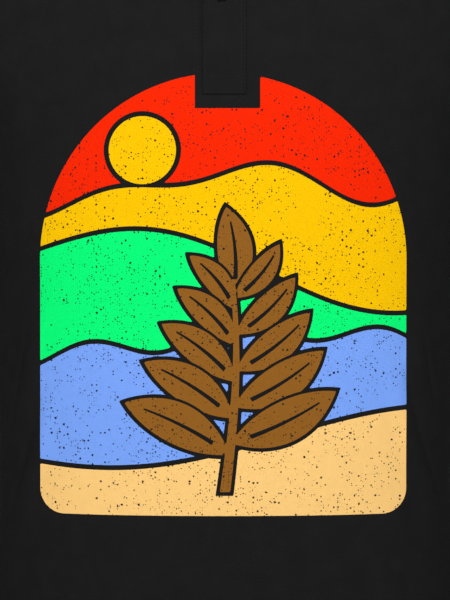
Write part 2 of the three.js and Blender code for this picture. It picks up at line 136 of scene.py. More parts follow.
class Form:
    """The smooth torso shape that the cloth is laid on."""

    def __init__(self, stations):
        rows = np.array(list(stations.values()))
        self.z = rows[:, 0]
        order = np.arange(len(rows))
        before, after = np.maximum(order - 1, 0), np.minimum(order + 1, len(rows) - 1)
        slopes = (rows[after] - rows[before]) / (self.z[after] - self.z[before])[:, None]
        self.curves = dict(zip(("side", "front", "back"), zip(rows[:, 1:].T, slopes[:, 1:].T)))

    def profile(self, key, z):
        """A half width or a depth of the form, as a smooth curve through its stations."""
        value, slope = self.curves[key]
        i = np.clip(np.searchsorted(self.z, z, side="right") - 1, 0, len(self.z) - 2)
        step = self.z[i + 1] - self.z[i]
        a, b, c, d = hermite((z - self.z[i]) / step)
        return a * value[i] + b * step * slope[i] + c * value[i + 1] + d * step * slope[i + 1]

    def fullness(self, z):
        return SQUARENESS * (1 - smoothstep(z, ARMPIT_Z, NECK_POINT[1]))

    def point(self, angle, z):
        """Angle 0 at the +X side seam, a quarter turn at the front, negative over the back."""
        c, s = np.cos(angle), np.sin(angle)
        depth = np.where(s > 0, self.profile("front", z), self.profile("back", z))
        x = self.profile("side", z) * c * (1 + self.fullness(z) * s * s)
        return np.stack([x, BOX_SHIFT - depth * s, np.broadcast_to(z, x.shape)], axis=-1)

    def normal(self, angle, z):
        step, rise = 1e-3, 0.0005
        low = np.minimum(z, NECK_POINT[1] - 2 * rise)
        along = self.point(angle + step, low) - self.point(angle - step, low)
        up = self.point(angle, low + rise) - self.point(angle, low - rise)
        return unit(np.cross(up, along))

    def angle_at(self, x, z):
        """The angle from 0 to a quarter turn at which the form is x from the middle."""
        target = np.minimum(np.asarray(x, float) / self.profile("side", z), 1.0)

        def wide(angle):
            c = np.cos(angle)
            return c * (1 + self.fullness(z) * (1 - c * c)) > target

        return last_where(np.zeros_like(target), np.full_like(target, math.pi / 2), wide)

    def height_at(self, x, y, low):
        """The height at which an upright line at x, y leaves the form; y is from the side seams."""

        def inside(z):
            depth = np.where(y < 0, self.profile("front", z), self.profile("back", z))
            return (x / self.profile("side", z)) ** 2 + (y / depth) ** 2 < 1

        return last_where(np.full_like(x, low), np.full_like(x, NECK_POINT[1]), inside)

    def armhole(self, t):
        """Angle and height of the armhole seam, t from the armpit to the shoulder tip."""
        eased = lerp(t, (1 - np.cos(math.pi * t)) / 2, ARMHOLE_EASING)
        z = lerp(ARMPIT_Z, SHOULDER_TIP[1], eased)
        seam_x = lerp(self.profile("side", ARMPIT_Z), SHOULDER_TIP[0], eased)
        return self.angle_at(seam_x, z), z

    def neckline(self, turn, side):
        """Where an upright oval tube meets the form; turn 0 at the neck point, 1 at the middle."""
        x = NECK_POINT[0] * np.cos(turn * math.pi / 2)
        y = NECK_DEPTH[side] * np.sin(turn * math.pi / 2)
        z = self.height_at(x, -y if side == "front" else y, NECK_LOWEST_Z)
        return np.arctan2(y / self.profile(side, z), x / self.profile("side", z)), z

    def top_edge(self, s, side):
        """Shoulder seam, neckline, shoulder seam, for s from the +X side to the -X side."""
        share = SHOULDER_COLUMNS / COLUMNS
        near = np.minimum(s, 1 - s)
        neck_angle, neck_z = self.neckline(np.clip((near - share) / (0.5 - share), 0, 1), side)
        on_shoulder = near < share
        shoulder_z = lerp(SHOULDER_TIP[1], NECK_POINT[1], near / share)
        angle = np.where(on_shoulder, 0.0, neck_angle)
        return np.where(s > 0.5, math.pi - angle, angle), np.where(on_shoulder, shoulder_z, neck_z)

    def panel(self, side):
        """The net of points of the front or the back, rows up from the hem, columns from +X to -X."""
        s = np.linspace(0, 1, COLUMNS + 1)[None, :]
        low_angle = np.broadcast_to(s * math.pi, (LOWER_ROWS + 1, COLUMNS + 1))
        low_z = np.broadcast_to(np.linspace(0, 1, LOWER_ROWS + 1)[:, None] * ARMPIT_Z, low_angle.shape)
        t = (np.arange(1, UPPER_ROWS + 1) / UPPER_ROWS)[:, None]
        top_angle, top_z = self.top_edge(s[0], side)
        arm_angle, arm_z = self.armhole(t)
        up_angle = (1 - t) * s * math.pi + t * top_angle + (1 - 2 * s) * arm_angle
        up_z = (1 - t) * ARMPIT_Z + t * top_z + arm_z - lerp(ARMPIT_Z, SHOULDER_TIP[1], t)
        angle = np.concatenate([low_angle, up_angle])
        return self.point(angle if side == "front" else -angle, np.concatenate([low_z, up_z]))

    def armhole_loop(self):
        """The closed seam on the +X side, from the shoulder tip down the front and up the back."""
        angle, z = self.armhole(np.arange(UPPER_ROWS + 1) / UPPER_ROWS)
        front, back = self.point(angle, z), self.point(-angle, z)
        return np.concatenate([front[::-1], back[1:-1]])

    def sleeve(self, side, drop=SLEEVE_DROP):
        """Rings of points from the armhole to the end of the cuff; side 1 for +X, -1 for -X."""
        down = np.array([math.cos(drop), 0, -math.sin(drop)])
        under = np.array([-math.sin(drop), 0, -math.cos(drop)])
        leaving = np.array([math.cos(SHOULDER_SLOPE), 0, -math.sin(SHOULDER_SLOPE)])
        tip = np.array([SHOULDER_TIP[0], BOX_SHIFT, SHOULDER_TIP[1]])
        centre = tip + down * (SLEEVE_TOP_LENGTH - CUFF_LENGTH) + under * CUFF_HALF_HEIGHT
        loop = self.armhole_loop()
        turn = np.arange(len(loop)) / len(loop) * 2 * math.pi
        radial = -np.cos(turn)[:, None] * under * CUFF_HALF_HEIGHT
        radial[:, 1] -= np.sin(turn) * CUFF_HALF_DEPTH
        end = centre + radial
        reach = np.linalg.norm(end - loop, axis=1)[:, None]
        rings = []
        for t in np.linspace(0, 1, SLEEVE_ROWS + 1):
            a, b, c, d = hermite(t)
            rings.append(loop * a + leaving * b * reach + end * c + down * d * reach)
        for t in np.linspace(0, 1, CUFF_ROWS + 1)[1:]:
            rings.append(centre + radial * lerp(1.0, CUFF_END, t) + down * CUFF_LENGTH * t)
        net = np.array(rings)
        net[..., 0] *= side
        return net

    def garment(self, drop):
        """The nets of all four cloth pieces, which share their points along the seams."""
        nets = {name: self.panel(name) for name in PANELS}
        nets.update({name: self.sleeve(side, drop) for name, side in zip(SLEEVES, (1, -1))})
        return nets


def grid_faces(rows, columns, start, closed=False):
    """Quads over a net of points numbered row by row."""
    spans = columns if closed else columns - 1
    r, c = np.meshgrid(np.arange(rows - 1), np.arange(spans), indexing="ij")
    n = (c + 1) % columns
    quads = np.stack([r * columns + c, r * columns + n, (r + 1) * columns + n, (r + 1) * columns + c], -1)
    return start + quads.reshape(-1, 4)


def scene_object(name, data):
    obj = bpy.data.objects.new(name, data)
    bpy.context.collection.objects.link(obj)
    return obj


def mesh_object(name, points, faces, outwards=False):
    """An object from points and faces, which are an array or, where their sizes differ, a list."""
    if isinstance(faces, np.ndarray):
        faces = faces.tolist()
    mesh = bpy.data.meshes.new(name)
    mesh.from_pydata(np.asarray(points).tolist(), [], faces)
    mesh.update()
    if outwards:
        net = bmesh.new()
        net.from_mesh(mesh)
        bmesh.ops.recalc_face_normals(net, faces=net.faces)
        net.to_mesh(mesh)
        net.free()
    return scene_object(name, mesh)


# The wearer's form, which holds the cloth out while it settles and is then taken away
WAIST_EASE = 0.018  # how much wider the cloth is cut than it is shown, at the waist
EASE_SHARES = {"hem": 0.6, "seat": 1.0, "waist": 1.4, "ribs": 1.0, "armpit": 0.4}
EASE_DEPTHS = {"front": 0.3, "back": 0.5}
SLEEVE_CUT_DROP = math.radians(24)  # the slope the sleeves are cut for
BODY_SIDES = 96
BODY_HEIGHTS = np.concatenate([np.linspace(-0.05, 0.64, 60), np.linspace(0.65, 0.712, 14)])
BODY_INSET = {"chest": 0.003, "waist": 0.030, "from": 0.30, "to": 0.48}
SHOULDER_SINK = {"from": 0.6, "depth": 0.004}
ARM_FROM_ROW = 6  # the wearer's arm starts here, so that it doesn't push the shoulder seam
ARM_SHARE = 0.90  # how thick the arm is, as a share of the sleeve
BODY_CLEAR = 0.002
BODY_FRICTION = 8.0

# How firmly the cloth's points are held in place, from 0 to 1
HELD = {"top": 1.0, "below top": 0.6, "front": 0.03, "hem": 0.05, "cuffs": 0.15}
HELD_FRONT = (0.30, 0.62)  # where the front's hold fades out, as shares of the way to a side
SETTLE_FRAMES = 30
GRAVITY_SHARE = 0.7
CLOTH_SETTINGS = {
    "quality": 6,
    "mass": 0.25,
    "tension_stiffness": 18,
    "compression_stiffness": 18,
    "shear_stiffness": 8,
    "bending_stiffness": 0.6,
    "tension_damping": 8,
    "compression_damping": 8,
    "shear_damping": 8,
    "bending_damping": 1.0,
    "air_damping": 3,
    "vertex_group_mass": "held",
    "pin_stiffness": 1.0,
}
CLOTH_COLLISION = {"collision_quality": 3, "distance_min": 0.002, "use_self_collision": False}


def cut_garment():
    """The nets of the cloth as it is cut, a little wider round the waist and the hem."""
    wide = dict(STATIONS)
    for name, share in EASE_SHARES.items():
        z, side, front, back = STATIONS[name]
        grow = WAIST_EASE * share
        wide[name] = (z, side + grow, front + grow * EASE_DEPTHS["front"], back + grow * EASE_DEPTHS["back"])
    return Form(wide).garment(SLEEVE_CUT_DROP)


def all_points(nets):
    return np.concatenate([net.reshape(-1, 3) for net in nets.values()])


def weld(nets, tolerance=1e-5):
    """Which points of several nets are kept where they share their seams, and each net's indices."""
    keys = np.round(all_points(nets) / tolerance).astype(np.int64)
    _, first, inverse = np.unique(keys, axis=0, return_index=True, return_inverse=True)
    inverse = inverse.reshape(-1)
    order = np.argsort(first)
    rank = np.empty_like(order)
    rank[order] = np.arange(len(order))
    index, at = {}, 0
    for name, net in nets.items():
        count = net.shape[0] * net.shape[1]
        index[name] = rank[inverse[at:at + count]].reshape(net.shape[:2])
        at += count
    return first[order], index


def sewn_faces(index):
    faces = []
    for name, ids in index.items():
        quads = ids.reshape(-1)[grid_faces(*ids.shape, 0, closed=name in SLEEVES)]
        faces.append(quads if name in ("front", "left") else quads[:, ::-1])
    return np.concatenate(faces)


def inner_form(form):
    """Closed rings of the wearer's torso, a little inside the cloth."""
    angle = np.linspace(0, 2 * math.pi, BODY_SIDES, endpoint=False)
    angle = np.where(angle <= math.pi, angle, angle - 2 * math.pi)
    rings = []
    for z in BODY_HEIGHTS:
        ring = form.point(angle, np.full(BODY_SIDES, max(z, HEM_Z)))
        middle = ring.mean(axis=0)
        out = ring - middle
        reach = np.linalg.norm(out[:, :2], axis=1)[:, None]
        low = 1 - smoothstep(z, BODY_INSET["from"], BODY_INSET["to"])
        ring = middle + out * (1 - lerp(BODY_INSET["chest"], BODY_INSET["waist"], low) / reach)
        ring[:, 2] = z - (SHOULDER_SINK["depth"] if z > SHOULDER_SINK["from"] else 0.0)
        rings.append(ring)
    return np.array(rings)


def wearer(form):
    """The torso and the arms that the cloth settles on."""
    parts = {"body": inner_form(form)}
    for side in (1, -1):
        arm = form.sleeve(side)[ARM_FROM_ROW:]
        middle = arm.mean(axis=1, keepdims=True)
        parts[f"arm_{side}"] = middle + (arm - middle) * ARM_SHARE
    solids = []
    for name, net in parts.items():
        faces = grid_faces(*net.shape[:2], 0, True)
        solid = mesh_object(f"settling_{name}", net.reshape(-1, 3), faces, outwards=True)
        solid.modifiers.new("Collision", "COLLISION")
        solid.collision.thickness_outer = BODY_CLEAR
        solid.collision.cloth_friction = BODY_FRICTION
        solids.append(solid)
    return solids


def held_weights(index, count):
    """How firmly each point is held: fully along the top, a little at the hem, the cuffs and the front."""
    held = np.zeros(count)

    def hold(points, weight):
        held[points] = np.maximum(held[points], weight)

    for name in PANELS:
        for row, part in ((-1, "top"), (-2, "below top"), (0, "hem")):
            hold(index[name][row], HELD[part])
    centre = np.abs(np.linspace(-1, 1, COLUMNS + 1))
    hold(index["front"][1:-2], HELD["front"] * (1 - smoothstep(centre, *HELD_FRONT)))
    for name in SLEEVES:
        hold(index[name][-CUFF_ROWS:], HELD["cuffs"])
    return held


def settle(form, cut):
    """Runs the cloth over the wearer's form and returns each piece's settled net."""
    start = form.garment(SLEEVE_DROP)
    first, index = weld(start)
    shirt = mesh_object("settling_cloth", all_points(start)[first], sewn_faces(index))
    shirt.shape_key_add(name="Basis")
    rest = shirt.shape_key_add(name="cut")
    rest.data.foreach_set("co", all_points(cut)[first].ravel())
    rest.value = 0.0
    pins = shirt.vertex_groups.new(name="held")
    for i, weight in enumerate(held_weights(index, len(first))):
        if weight > 0:
            pins.add([i], float(weight), "REPLACE")
    solids = wearer(form)

    cloth = shirt.modifiers.new("Cloth", "CLOTH")
    set_all(cloth.settings, CLOTH_SETTINGS)
    set_all(cloth.collision_settings, CLOTH_COLLISION)
    cloth.settings.rest_shape_key = rest
    cloth.settings.effector_weights.gravity = GRAVITY_SHARE
    cloth.point_cache.frame_start = 1
    cloth.point_cache.frame_end = SETTLE_FRAMES
    for f in range(1, SETTLE_FRAMES + 1):
        bpy.context.scene.frame_set(f)
    evaluated = shirt.evaluated_get(bpy.context.evaluated_depsgraph_get())
    points = np.empty(len(first) * 3)
    evaluated.data.vertices.foreach_get("co", points)
    points = points.reshape(-1, 3)
    bpy.context.scene.frame_set(1)
    for obj in [shirt, *solids]:
        mesh = obj.data
        bpy.data.objects.remove(obj)
        bpy.data.meshes.remove(mesh)
    return {name: points[ids] for name, ids in index.items()}


# Tools for nets of points
NORMAL_SIGN = {"front": -1, "back": 1, "left": 1, "right": -1}


def along_rows(net, at, closed=False):
    """Points of a smooth curve through the rows of a net, at positions counted in rows."""
    at = np.asarray(at, float)
    if closed:
        i = np.floor(at).astype(int)
        a, b, c, d = (net[(i + k) % len(net)] for k in (-1, 0, 1, 2))
    else:
        wide = np.concatenate([2 * net[:1] - net[1:2], net, 2 * net[-1:] - net[-2:-1]])
        i = np.clip(np.floor(at).astype(int), 0, len(net) - 2)
        a, b, c, d = (wide[i + k] for k in range(4))
    t = (at - i).reshape(-1, *[1] * (net.ndim - 1))
    return b + 0.5 * t * (c - a + t * (2 * a - 5 * b + 4 * c - d + t * (3 * (b - c) + d - a)))


def resample(net, rows, columns, closed=False):
    """A net at other rows and columns, closed where its last column joins its first."""
    across = along_rows(net.swapaxes(0, 1), columns, closed).swapaxes(0, 1)
    return along_rows(across, rows)


def positions(count, k, start=(), end=()):
    """Positions k to a cell over a number of cells, with extra ones near the start and the end."""
    extra = [np.array(start, float), count - np.array(end, float)]
    return np.unique(np.concatenate([np.arange(count * k + 1) / k, *extra]))


def net_normals(net, sign, closed=False):
    """Unit normals of a net; the sign turns them outwards."""
    if closed:
        across = np.roll(net, -1, axis=1) - np.roll(net, 1, axis=1)
    else:
        across = np.gradient(net, axis=1)
    return sign * unit(np.cross(across, np.gradient(net, axis=0)))


def arc_lengths(net, axis):
    """Lengths along the net from its first row or column."""
    steps = np.linalg.norm(np.diff(net, axis=axis), axis=-1)
    zero = np.zeros_like(np.take(steps, [0], axis=axis))
    return np.concatenate([zero, np.cumsum(steps, axis=axis)], axis=axis)


def from_ends(net, axis):
    """Lengths along the net from the nearer of its first and last row or column."""
    lengths = arc_lengths(net, axis)
    return np.minimum(lengths, np.take(lengths, [-1], axis=axis) - lengths)


def closed_up(net):
    return np.concatenate([net, net[:, :1]], axis=1)


def net_area(net):
    a = np.cross(net[1:, :-1] - net[:-1, :-1], net[:-1, 1:] - net[:-1, :-1])
    b = np.cross(net[1:, :-1] - net[1:, 1:], net[:-1, 1:] - net[1:, 1:])
    return float((np.linalg.norm(a, axis=-1) + np.linalg.norm(b, axis=-1)).sum() / 2)


def rounded_edge(to_edge, radius, least=0.0):
    """The share of the full thickness near an edge with a round section."""
    return np.sqrt(1 - (1 - np.clip(to_edge / radius, least, 1)) ** 2)


def smooth_shaded(obj, sharp_degrees=50):
    obj.data.polygons.foreach_set("use_smooth", np.ones(len(obj.data.polygons), dtype=bool))
    obj.data.set_sharp_from_angle(angle=math.radians(sharp_degrees))
    return obj


def cloth_map(obj, uv, wrap_length=None):
    """Gives each corner its cloth coordinates in metres; wrap_length is the way round a closed net."""
    mesh = obj.data
    columns = uv.shape[1]
    vertex = np.empty(len(mesh.loops), dtype=np.int64)
    mesh.loops.foreach_get("vertex_index", vertex)
    corners = uv.reshape(-1, 2)[vertex % (uv.shape[0] * columns)].copy()
    if wrap_length is not None:
        starts = np.empty(len(mesh.polygons), dtype=np.int64)
        mesh.polygons.foreach_get("loop_start", starts)
        column = vertex % columns
        lengths = np.diff(np.append(starts, len(vertex)))
        at_last = np.maximum.reduceat(column, starts) == columns - 1
        at_first = np.minimum.reduceat(column, starts) == 0
        corners[np.repeat(at_last & at_first, lengths) & (column == 0), 0] += wrap_length
    layer = mesh.uv_layers.new(name="cloth")
    layer.data.foreach_set("uv", corners.astype(np.float32).ravel())


def shell_object(name, outer, inner, uv, wrap_length=None):
    """A closed thin body between two nets, with its cloth coordinates as a UV map."""
    closed = wrap_length is not None
    rows, columns = outer.shape[:2]
    count = rows * columns
    faces = [grid_faces(rows, columns, 0, closed), grid_faces(rows, columns, count, closed)[:, ::-1]]
    c = np.arange(columns if closed else columns - 1)
    n = (c + 1) % columns
    top = (rows - 1) * columns
    rims = [(n, c), (top + c, top + n)]
    if not closed:
        r = np.arange(rows - 1) * columns
        e = r + columns - 1
        rims += [(r, r + columns), (e + columns, e)]
    faces += [np.stack([a, b, b + count, a + count], -1) for a, b in rims]
    points = np.concatenate([outer.reshape(-1, 3), inner.reshape(-1, 3)])
    obj = mesh_object(name, points, np.concatenate(faces), outwards=True)
    cloth_map(obj, uv, wrap_length)
    return smooth_shaded(obj)


# Materials
BLACK = ((0.0116, 0.0116, 0.0118), (0.0132, 0.0132, 0.0134))
KNIT = {"Specular_IOR_Level": 0.015, "Sheen_Weight": 0.0005}
PIQUE_CELL = 0.0023  # across the diamond of the knit
RIB_WALE = 0.0019  # from one rib of the collar to the next
RIB_LOOP = 0.62 * RIB_WALE  # from one loop to the next along a rib
TWILL = {"step": 0.0013, "turn": 0.0025}  # from rib to rib of the tape, and how far until they turn


class Nodes:
    """A short way to write a material's nodes."""

    def __init__(self, name):
        self.material = bpy.data.materials.new(name)
        self.material.use_nodes = True
        self.tree = self.material.node_tree
        self.shader = self.tree.nodes["Principled BSDF"]

    def add(self, kind, **settings):
        node = self.tree.nodes.new(kind)
        set_all(node, settings)
        return node

    def link(self, source, target):
        """Links a source to a socket, or sets the socket where the source is a number."""
        if isinstance(source, (int, float)):
            target.default_value = source
        else:
            self.tree.links.new(source, target)

    def math(self, operation, *values):
        node = self.add("ShaderNodeMath", operation=operation)
        for socket, value in zip(node.inputs, values):
            self.link(value, socket)
        return node.outputs[0]

    def wave(self, value, length):
        return self.math("SINE", self.math("MULTIPLY", value, 2 * math.pi / length))

    def parts(self, source):
        node = self.add("ShaderNodeSeparateXYZ")
        self.link(source, node.inputs[0])
        return node.outputs[0], node.outputs[1]

    def cloth_coordinates(self):
        """The two cloth coordinates, in metres."""
        return self.parts(self.add("ShaderNodeUVMap", uv_map="cloth").outputs["UV"])

    def noise(self, scale, detail=3.0):
        node = self.add("ShaderNodeTexNoise")
        for socket, value in (("Scale", scale), ("Detail", detail), ("Roughness", 0.55)):
            node.inputs[socket].default_value = value
        self.link(self.add("ShaderNodeTexCoord").outputs["Object"], node.inputs["Vector"])
        return node.outputs["Fac"]

    def ramp(self, factor, low, high, start=0.35, end=0.65):
        node = self.add("ShaderNodeValToRGB")
        for element, place, colour in zip(node.color_ramp.elements, (start, end), (low, high)):
            element.position = place
            element.color = (*colour, 1)
        self.link(factor, node.inputs[0])
        return node.outputs[0]

    def bump(self, height, strength, distance, before=None):
        node = self.add("ShaderNodeBump")
        node.inputs["Strength"].default_value = strength
        node.inputs["Distance"].default_value = distance
        self.link(height, node.inputs["Height"])
        if before is not None:
            self.link(before, node.inputs["Normal"])
        return node.outputs[0]

    def set(self, **values):
        """Sets or links the shader's sockets, with _ for a space in their names."""
        for key, value in values.items():
            socket = self.shader.inputs[key.replace("_", " ")]
            if isinstance(value, tuple):
                socket.default_value = value
            else:
                self.link(value, socket)

    def uneven(self, scale, reach, base):
        """A value that varies a little from place to place."""
        return self.math("MULTIPLY_ADD", self.noise(scale), reach, base)


def pique_height(m):
    """The raised diamonds of the knit."""
    u, v = m.cloth_coordinates()
    return m.math("MULTIPLY", *(m.wave(m.math(way, u, v), 1.4 * PIQUE_CELL) for way in ("ADD", "SUBTRACT")))


def rib_height(m):
    """The ribs, with the loops of the yarn along them."""
    u, v = m.cloth_coordinates()
    return m.math("MULTIPLY_ADD", m.wave(v, RIB_LOOP), 0.25, m.wave(u, RIB_WALE))


def knit_material(name, height, patches, fuzz, strength, distance):
    """A matt black knit with a raised pattern, fuzz over it, and a slightly uneven colour."""
    m = Nodes(name)
    hairs = m.bump(m.noise(2600, 2.0), fuzz, 0.0004)
    m.set(
        Base_Color=m.ramp(m.noise(patches), *BLACK),
        Normal=m.bump(height(m), strength, distance, hairs),
        Roughness=m.uneven(900, 0.12, 0.84),
        **KNIT,
    )
    return m.material


def pique_material():
    return knit_material("pique", pique_height, patches=60, fuzz=0.35, strength=0.4, distance=0.0003)


def rib_material():
    return knit_material("rib", rib_height, patches=70, fuzz=0.3, strength=0.7, distance=0.0004)


def thread_material():
    m = Nodes("thread")
    m.set(
        Base_Color=m.ramp(m.noise(500), (0.0145, 0.0145, 0.0158), (0.0235, 0.0235, 0.0262)),
        Normal=m.bump(m.noise(3500, 2.0), 0.5, 0.0003),
        Roughness=0.75,
        Specular_IOR_Level=0.1,
    )
    return m.material


def button_material():
    m = Nodes("button")
    m.set(
        Base_Color=m.ramp(m.noise(260, 5.0), (0.005, 0.005, 0.006), (0.011, 0.0105, 0.012)),
        Normal=m.bump(m.noise(900), 0.08, 0.0002),
        Roughness=m.uneven(300, 0.16, 0.36),
        Specular_IOR_Level=0.16,
    )
    return m.material


def tape_material():
    m = Nodes("tape")
    u, v = m.cloth_coordinates()
    twill = m.wave(m.math("ADD", u, m.math("PINGPONG", v, TWILL["turn"])), TWILL["step"])
    m.set(
        Base_Color=m.ramp(m.noise(200), (0.013, 0.013, 0.014), (0.022, 0.022, 0.024)),
        Normal=m.bump(twill, 0.6, 0.0003),
        Roughness=0.8,
        Specular_IOR_Level=0.2,
    )
    return m.material


PRINT_COLOURS = {
    "red": (0.895, 0.0197, 0.0006),
    "amber": (0.925, 0.533, 0.0006),
    "green": (0.0026, 0.93, 0.188),
    "blue": (0.188, 0.36, 0.908),
    "sand": (0.965, 0.598, 0.204),
    "brown": (0.275, 0.108, 0.0145),
}
INK_DARKEST = 0.965  # the least share of its colour that the ink has

# The specks worn into the ink: how far apart they can lie, the largest radius, both in metres,
# the share of places with one, and how far the patches with and without them reach
SPECKS = (
    {"apart": 0.0034, "radius": 0.00095, "share": 0.22, "patch": 0.05, "bare": 0.42},
    {"apart": 0.0019, "radius": 0.00060, "share": 0.30, "patch": 0.03, "bare": 0.47},
)
RAGGED = {"across": 1700, "up": 2100, "reach": 2.2}  # noise scales, and reach in radii


def specks(m, apart, radius, share, patch, bare):
    """1 inside ragged spots of many sizes, strewn in patches, and 0 elsewhere."""
    place = m.add("ShaderNodeCombineXYZ")
    for socket, value, way in zip(place.inputs, m.cloth_coordinates(), ("across", "up")):
        m.link(m.math("MULTIPLY_ADD", m.noise(RAGGED[way], 2.0), RAGGED["reach"] * radius, value), socket)
    spots = m.add("ShaderNodeTexVoronoi", voronoi_dimensions="2D")
    spots.inputs["Scale"].default_value = 1 / apart
    m.link(place.outputs[0], spots.inputs["Vector"])
    chance = m.parts(spots.outputs["Color"])[0]
    size = m.math("MULTIPLY", m.math("SUBTRACT", chance, 1 - share), radius / apart / share)
    there = m.math("GREATER_THAN", m.noise(1 / patch, 2.0), bare)
    return m.math("MULTIPLY", m.math("LESS_THAN", spots.outputs["Distance"], size), there)


def print_material(name):
    """Matt ink on the knit, worn through in fine specks."""
    m = Nodes(f"print_{name}")
    colour = PRINT_COLOURS[name]
    dark = tuple(INK_DARKEST * c for c in colour)
    worn = m.add("ShaderNodeMix", data_type="RGBA")
    m.link(m.math("MAXIMUM", *(specks(m, **kind) for kind in SPECKS)), worn.inputs["Factor"])
    m.link(m.ramp(m.noise(160), dark, colour, start=0.3, end=0.6), worn.inputs["A"])
    worn.inputs["B"].default_value = (*BLACK[1], 1)
    m.set(
        Base_Color=worn.outputs["Result"],
        Normal=m.bump(pique_height(m), 0.2, 0.0002),
        Roughness=m.uneven(500, 0.15, 0.75),
        Specular_IOR_Level=0.04,
    )
    return m.material


# The relief of the cloth: seams, hem and needle rows
SEAM_RISE = 0.0011
SEAM_WIDTH = 0.0032
SEAM_RIDGE = {"height": 0.0006, "at": 2.1 * SEAM_WIDTH}
HEM = {"depth": 0.022, "raise": 0.0006, "fold": 0.0011, "fade": 0.0015, "raise_from": 0.021}
HEM_ROWS = (0.0165, 0.0198)  # the two needle rows, above the hem's edge
HEM_LEVEL_REACH = 0.09  # how far up the cloth moves when its hem is set level
NEEDLE = {"dip": 0.00035, "width": 0.0009}
HEM_STEPS = (0.04, 0.1, 0.2, 1.55, 1.8, 1.9, 2.1, 2.2, 2.45, 2.55, 2.75)
VENT = {"height": 0.035, "opening": 0.0030, "reach": 0.03}

# The creases that run down to the sides of the front: x at the top, the middle and the foot, and
# the heights of the top and the foot
CREASES = (
    {"x": (-0.161, -0.170, -0.181), "z": (0.302, 0.192)},
    {"x": (-0.149, -0.165, -0.182), "z": (0.236, 0.116)},
    {"x": (0.163, 0.171, 0.181), "z": (0.286, 0.200)},
    {"x": (0.145, 0.160, 0.181), "z": (0.262, 0.138)},
)
CREASE = {"depth": 0.0015, "width": 0.0026, "swell": 0.0023, "swell_at": 0.0105, "swell_width": 0.0075}
CREASE_FALL = {"depth": 0.0020, "reach": 0.012}  # how much lower the cloth lies on the outer side
CREASE_ENDS = {"start": (-0.1, 0.35), "end": (0.75, 1.3)}  # shares of its length where it sets in and ends
CREASE_FREE = 0.016  # the creases fade out over this distance from a side seam
HOLLOW = {"x": 0.184, "z": 0.306, "width": 0.024, "height": 0.062, "depth": 0.0062}

# How the settled cloth is evened out
CALM = {"passes": 60, "full": 0.72, "none": 0.92}  # the shares are of the way from the middle to a side
WAIST_FILL = {"z": 0.290, "reach": 0.085, "share": 0.060}


def seam_relief(distance):
    """Over a few millimetres the cloth rises from a seam to its full height, with a soft ridge."""
    rise = SEAM_RISE * (1 - bump_at(distance, 0, SEAM_WIDTH))
    return rise + SEAM_RIDGE["height"] * bump_at(distance, SEAM_RIDGE["at"], SEAM_WIDTH)


def crease_relief(x, z):
    """Each crease is a narrow valley, with a swelling along its inner side and lower cloth outside."""
    hollow = bump_at(np.abs(x), HOLLOW["x"], HOLLOW["width"]) * bump_at(z, HOLLOW["z"], HOLLOW["height"])
    relief = -HOLLOW["depth"] * hollow
    for crease in CREASES:
        top, foot = crease["z"]
        start, middle, end = crease["x"]
        t = (top - z) / (top - foot)
        line = start * (1 - t) * (1 - 2 * t) + 4 * middle * t * (1 - t) + end * t * (2 * t - 1)
        inwards = (line - x) * np.sign(start)
        strength = smoothstep(t, *CREASE_ENDS["start"]) * (1 - smoothstep(t, *CREASE_ENDS["end"]))
        swell = CREASE["swell"] * bump_at(inwards, CREASE["swell_at"], CREASE["swell_width"])
        fall = CREASE_FALL["depth"] * smoothstep(-inwards, 0, CREASE_FALL["reach"])
        relief += strength * (swell - fall - CREASE["depth"] * bump_at(inwards, 0, CREASE["width"]))
    return relief


def calm_front(net, smooth_net):
    """Takes the narrow folds out of the front's middle and leaves the wide ones."""
    shift = net - smooth_net
    wide = shift.copy()
    for _ in range(CALM["passes"]):
        wide[:, 1:-1] = (wide[:, :-2] + 2 * wide[:, 1:-1] + wide[:, 2:]) / 4
    place = np.abs(np.linspace(-1, 1, COLUMNS + 1))
    share = 1 - smoothstep(place, CALM["full"], CALM["none"])
    return smooth_net + lerp(shift, wide, share[None, :, None])


def fill_waist(net):
    """Widens the settled cloth a little round the waist."""
    net[..., 0] *= 1 + WAIST_FILL["share"] * bump_at(net[..., 2], WAIST_FILL["z"], WAIST_FILL["reach"])


def level_hem(name, net):
    """Sets the hem level on the floor and parts the two sides of each vent."""
    share = 1 - smoothstep(net[..., 2], 0.0, HEM_LEVEL_REACH)
    net[..., 2] -= (net[0, :, 2].copy() - HEM_Z)[None, :] * share
    net[0, :, 2] = HEM_Z
    low = np.clip(1 - net[..., 2] / VENT["height"], 0, 1)
    near = 1 - smoothstep(from_ends(net, 1), 0, VENT["reach"])
    net[..., 1] += NORMAL_SIGN[name] * VENT["opening"] * low * near


def panel_relief(name, net):
    """Heights of the seams, the hem and the creases on the front or the back."""
    from_side = from_ends(net, 1)
    up = arc_lengths(net, 0)
    relief = seam_relief(np.minimum(from_side, up[-1:] - up))
    if name == "front":
        relief += crease_relief(net[..., 0], net[..., 2]) * smoothstep(from_side, 0, CREASE_FREE)
    relief += HEM["raise"] * (1 - smoothstep(up, HEM["raise_from"], HEM["depth"] + HEM["fade"]))
    for row in HEM_ROWS:
        relief -= NEEDLE["dip"] * bump_at(up, row, NEEDLE["width"])
    return relief


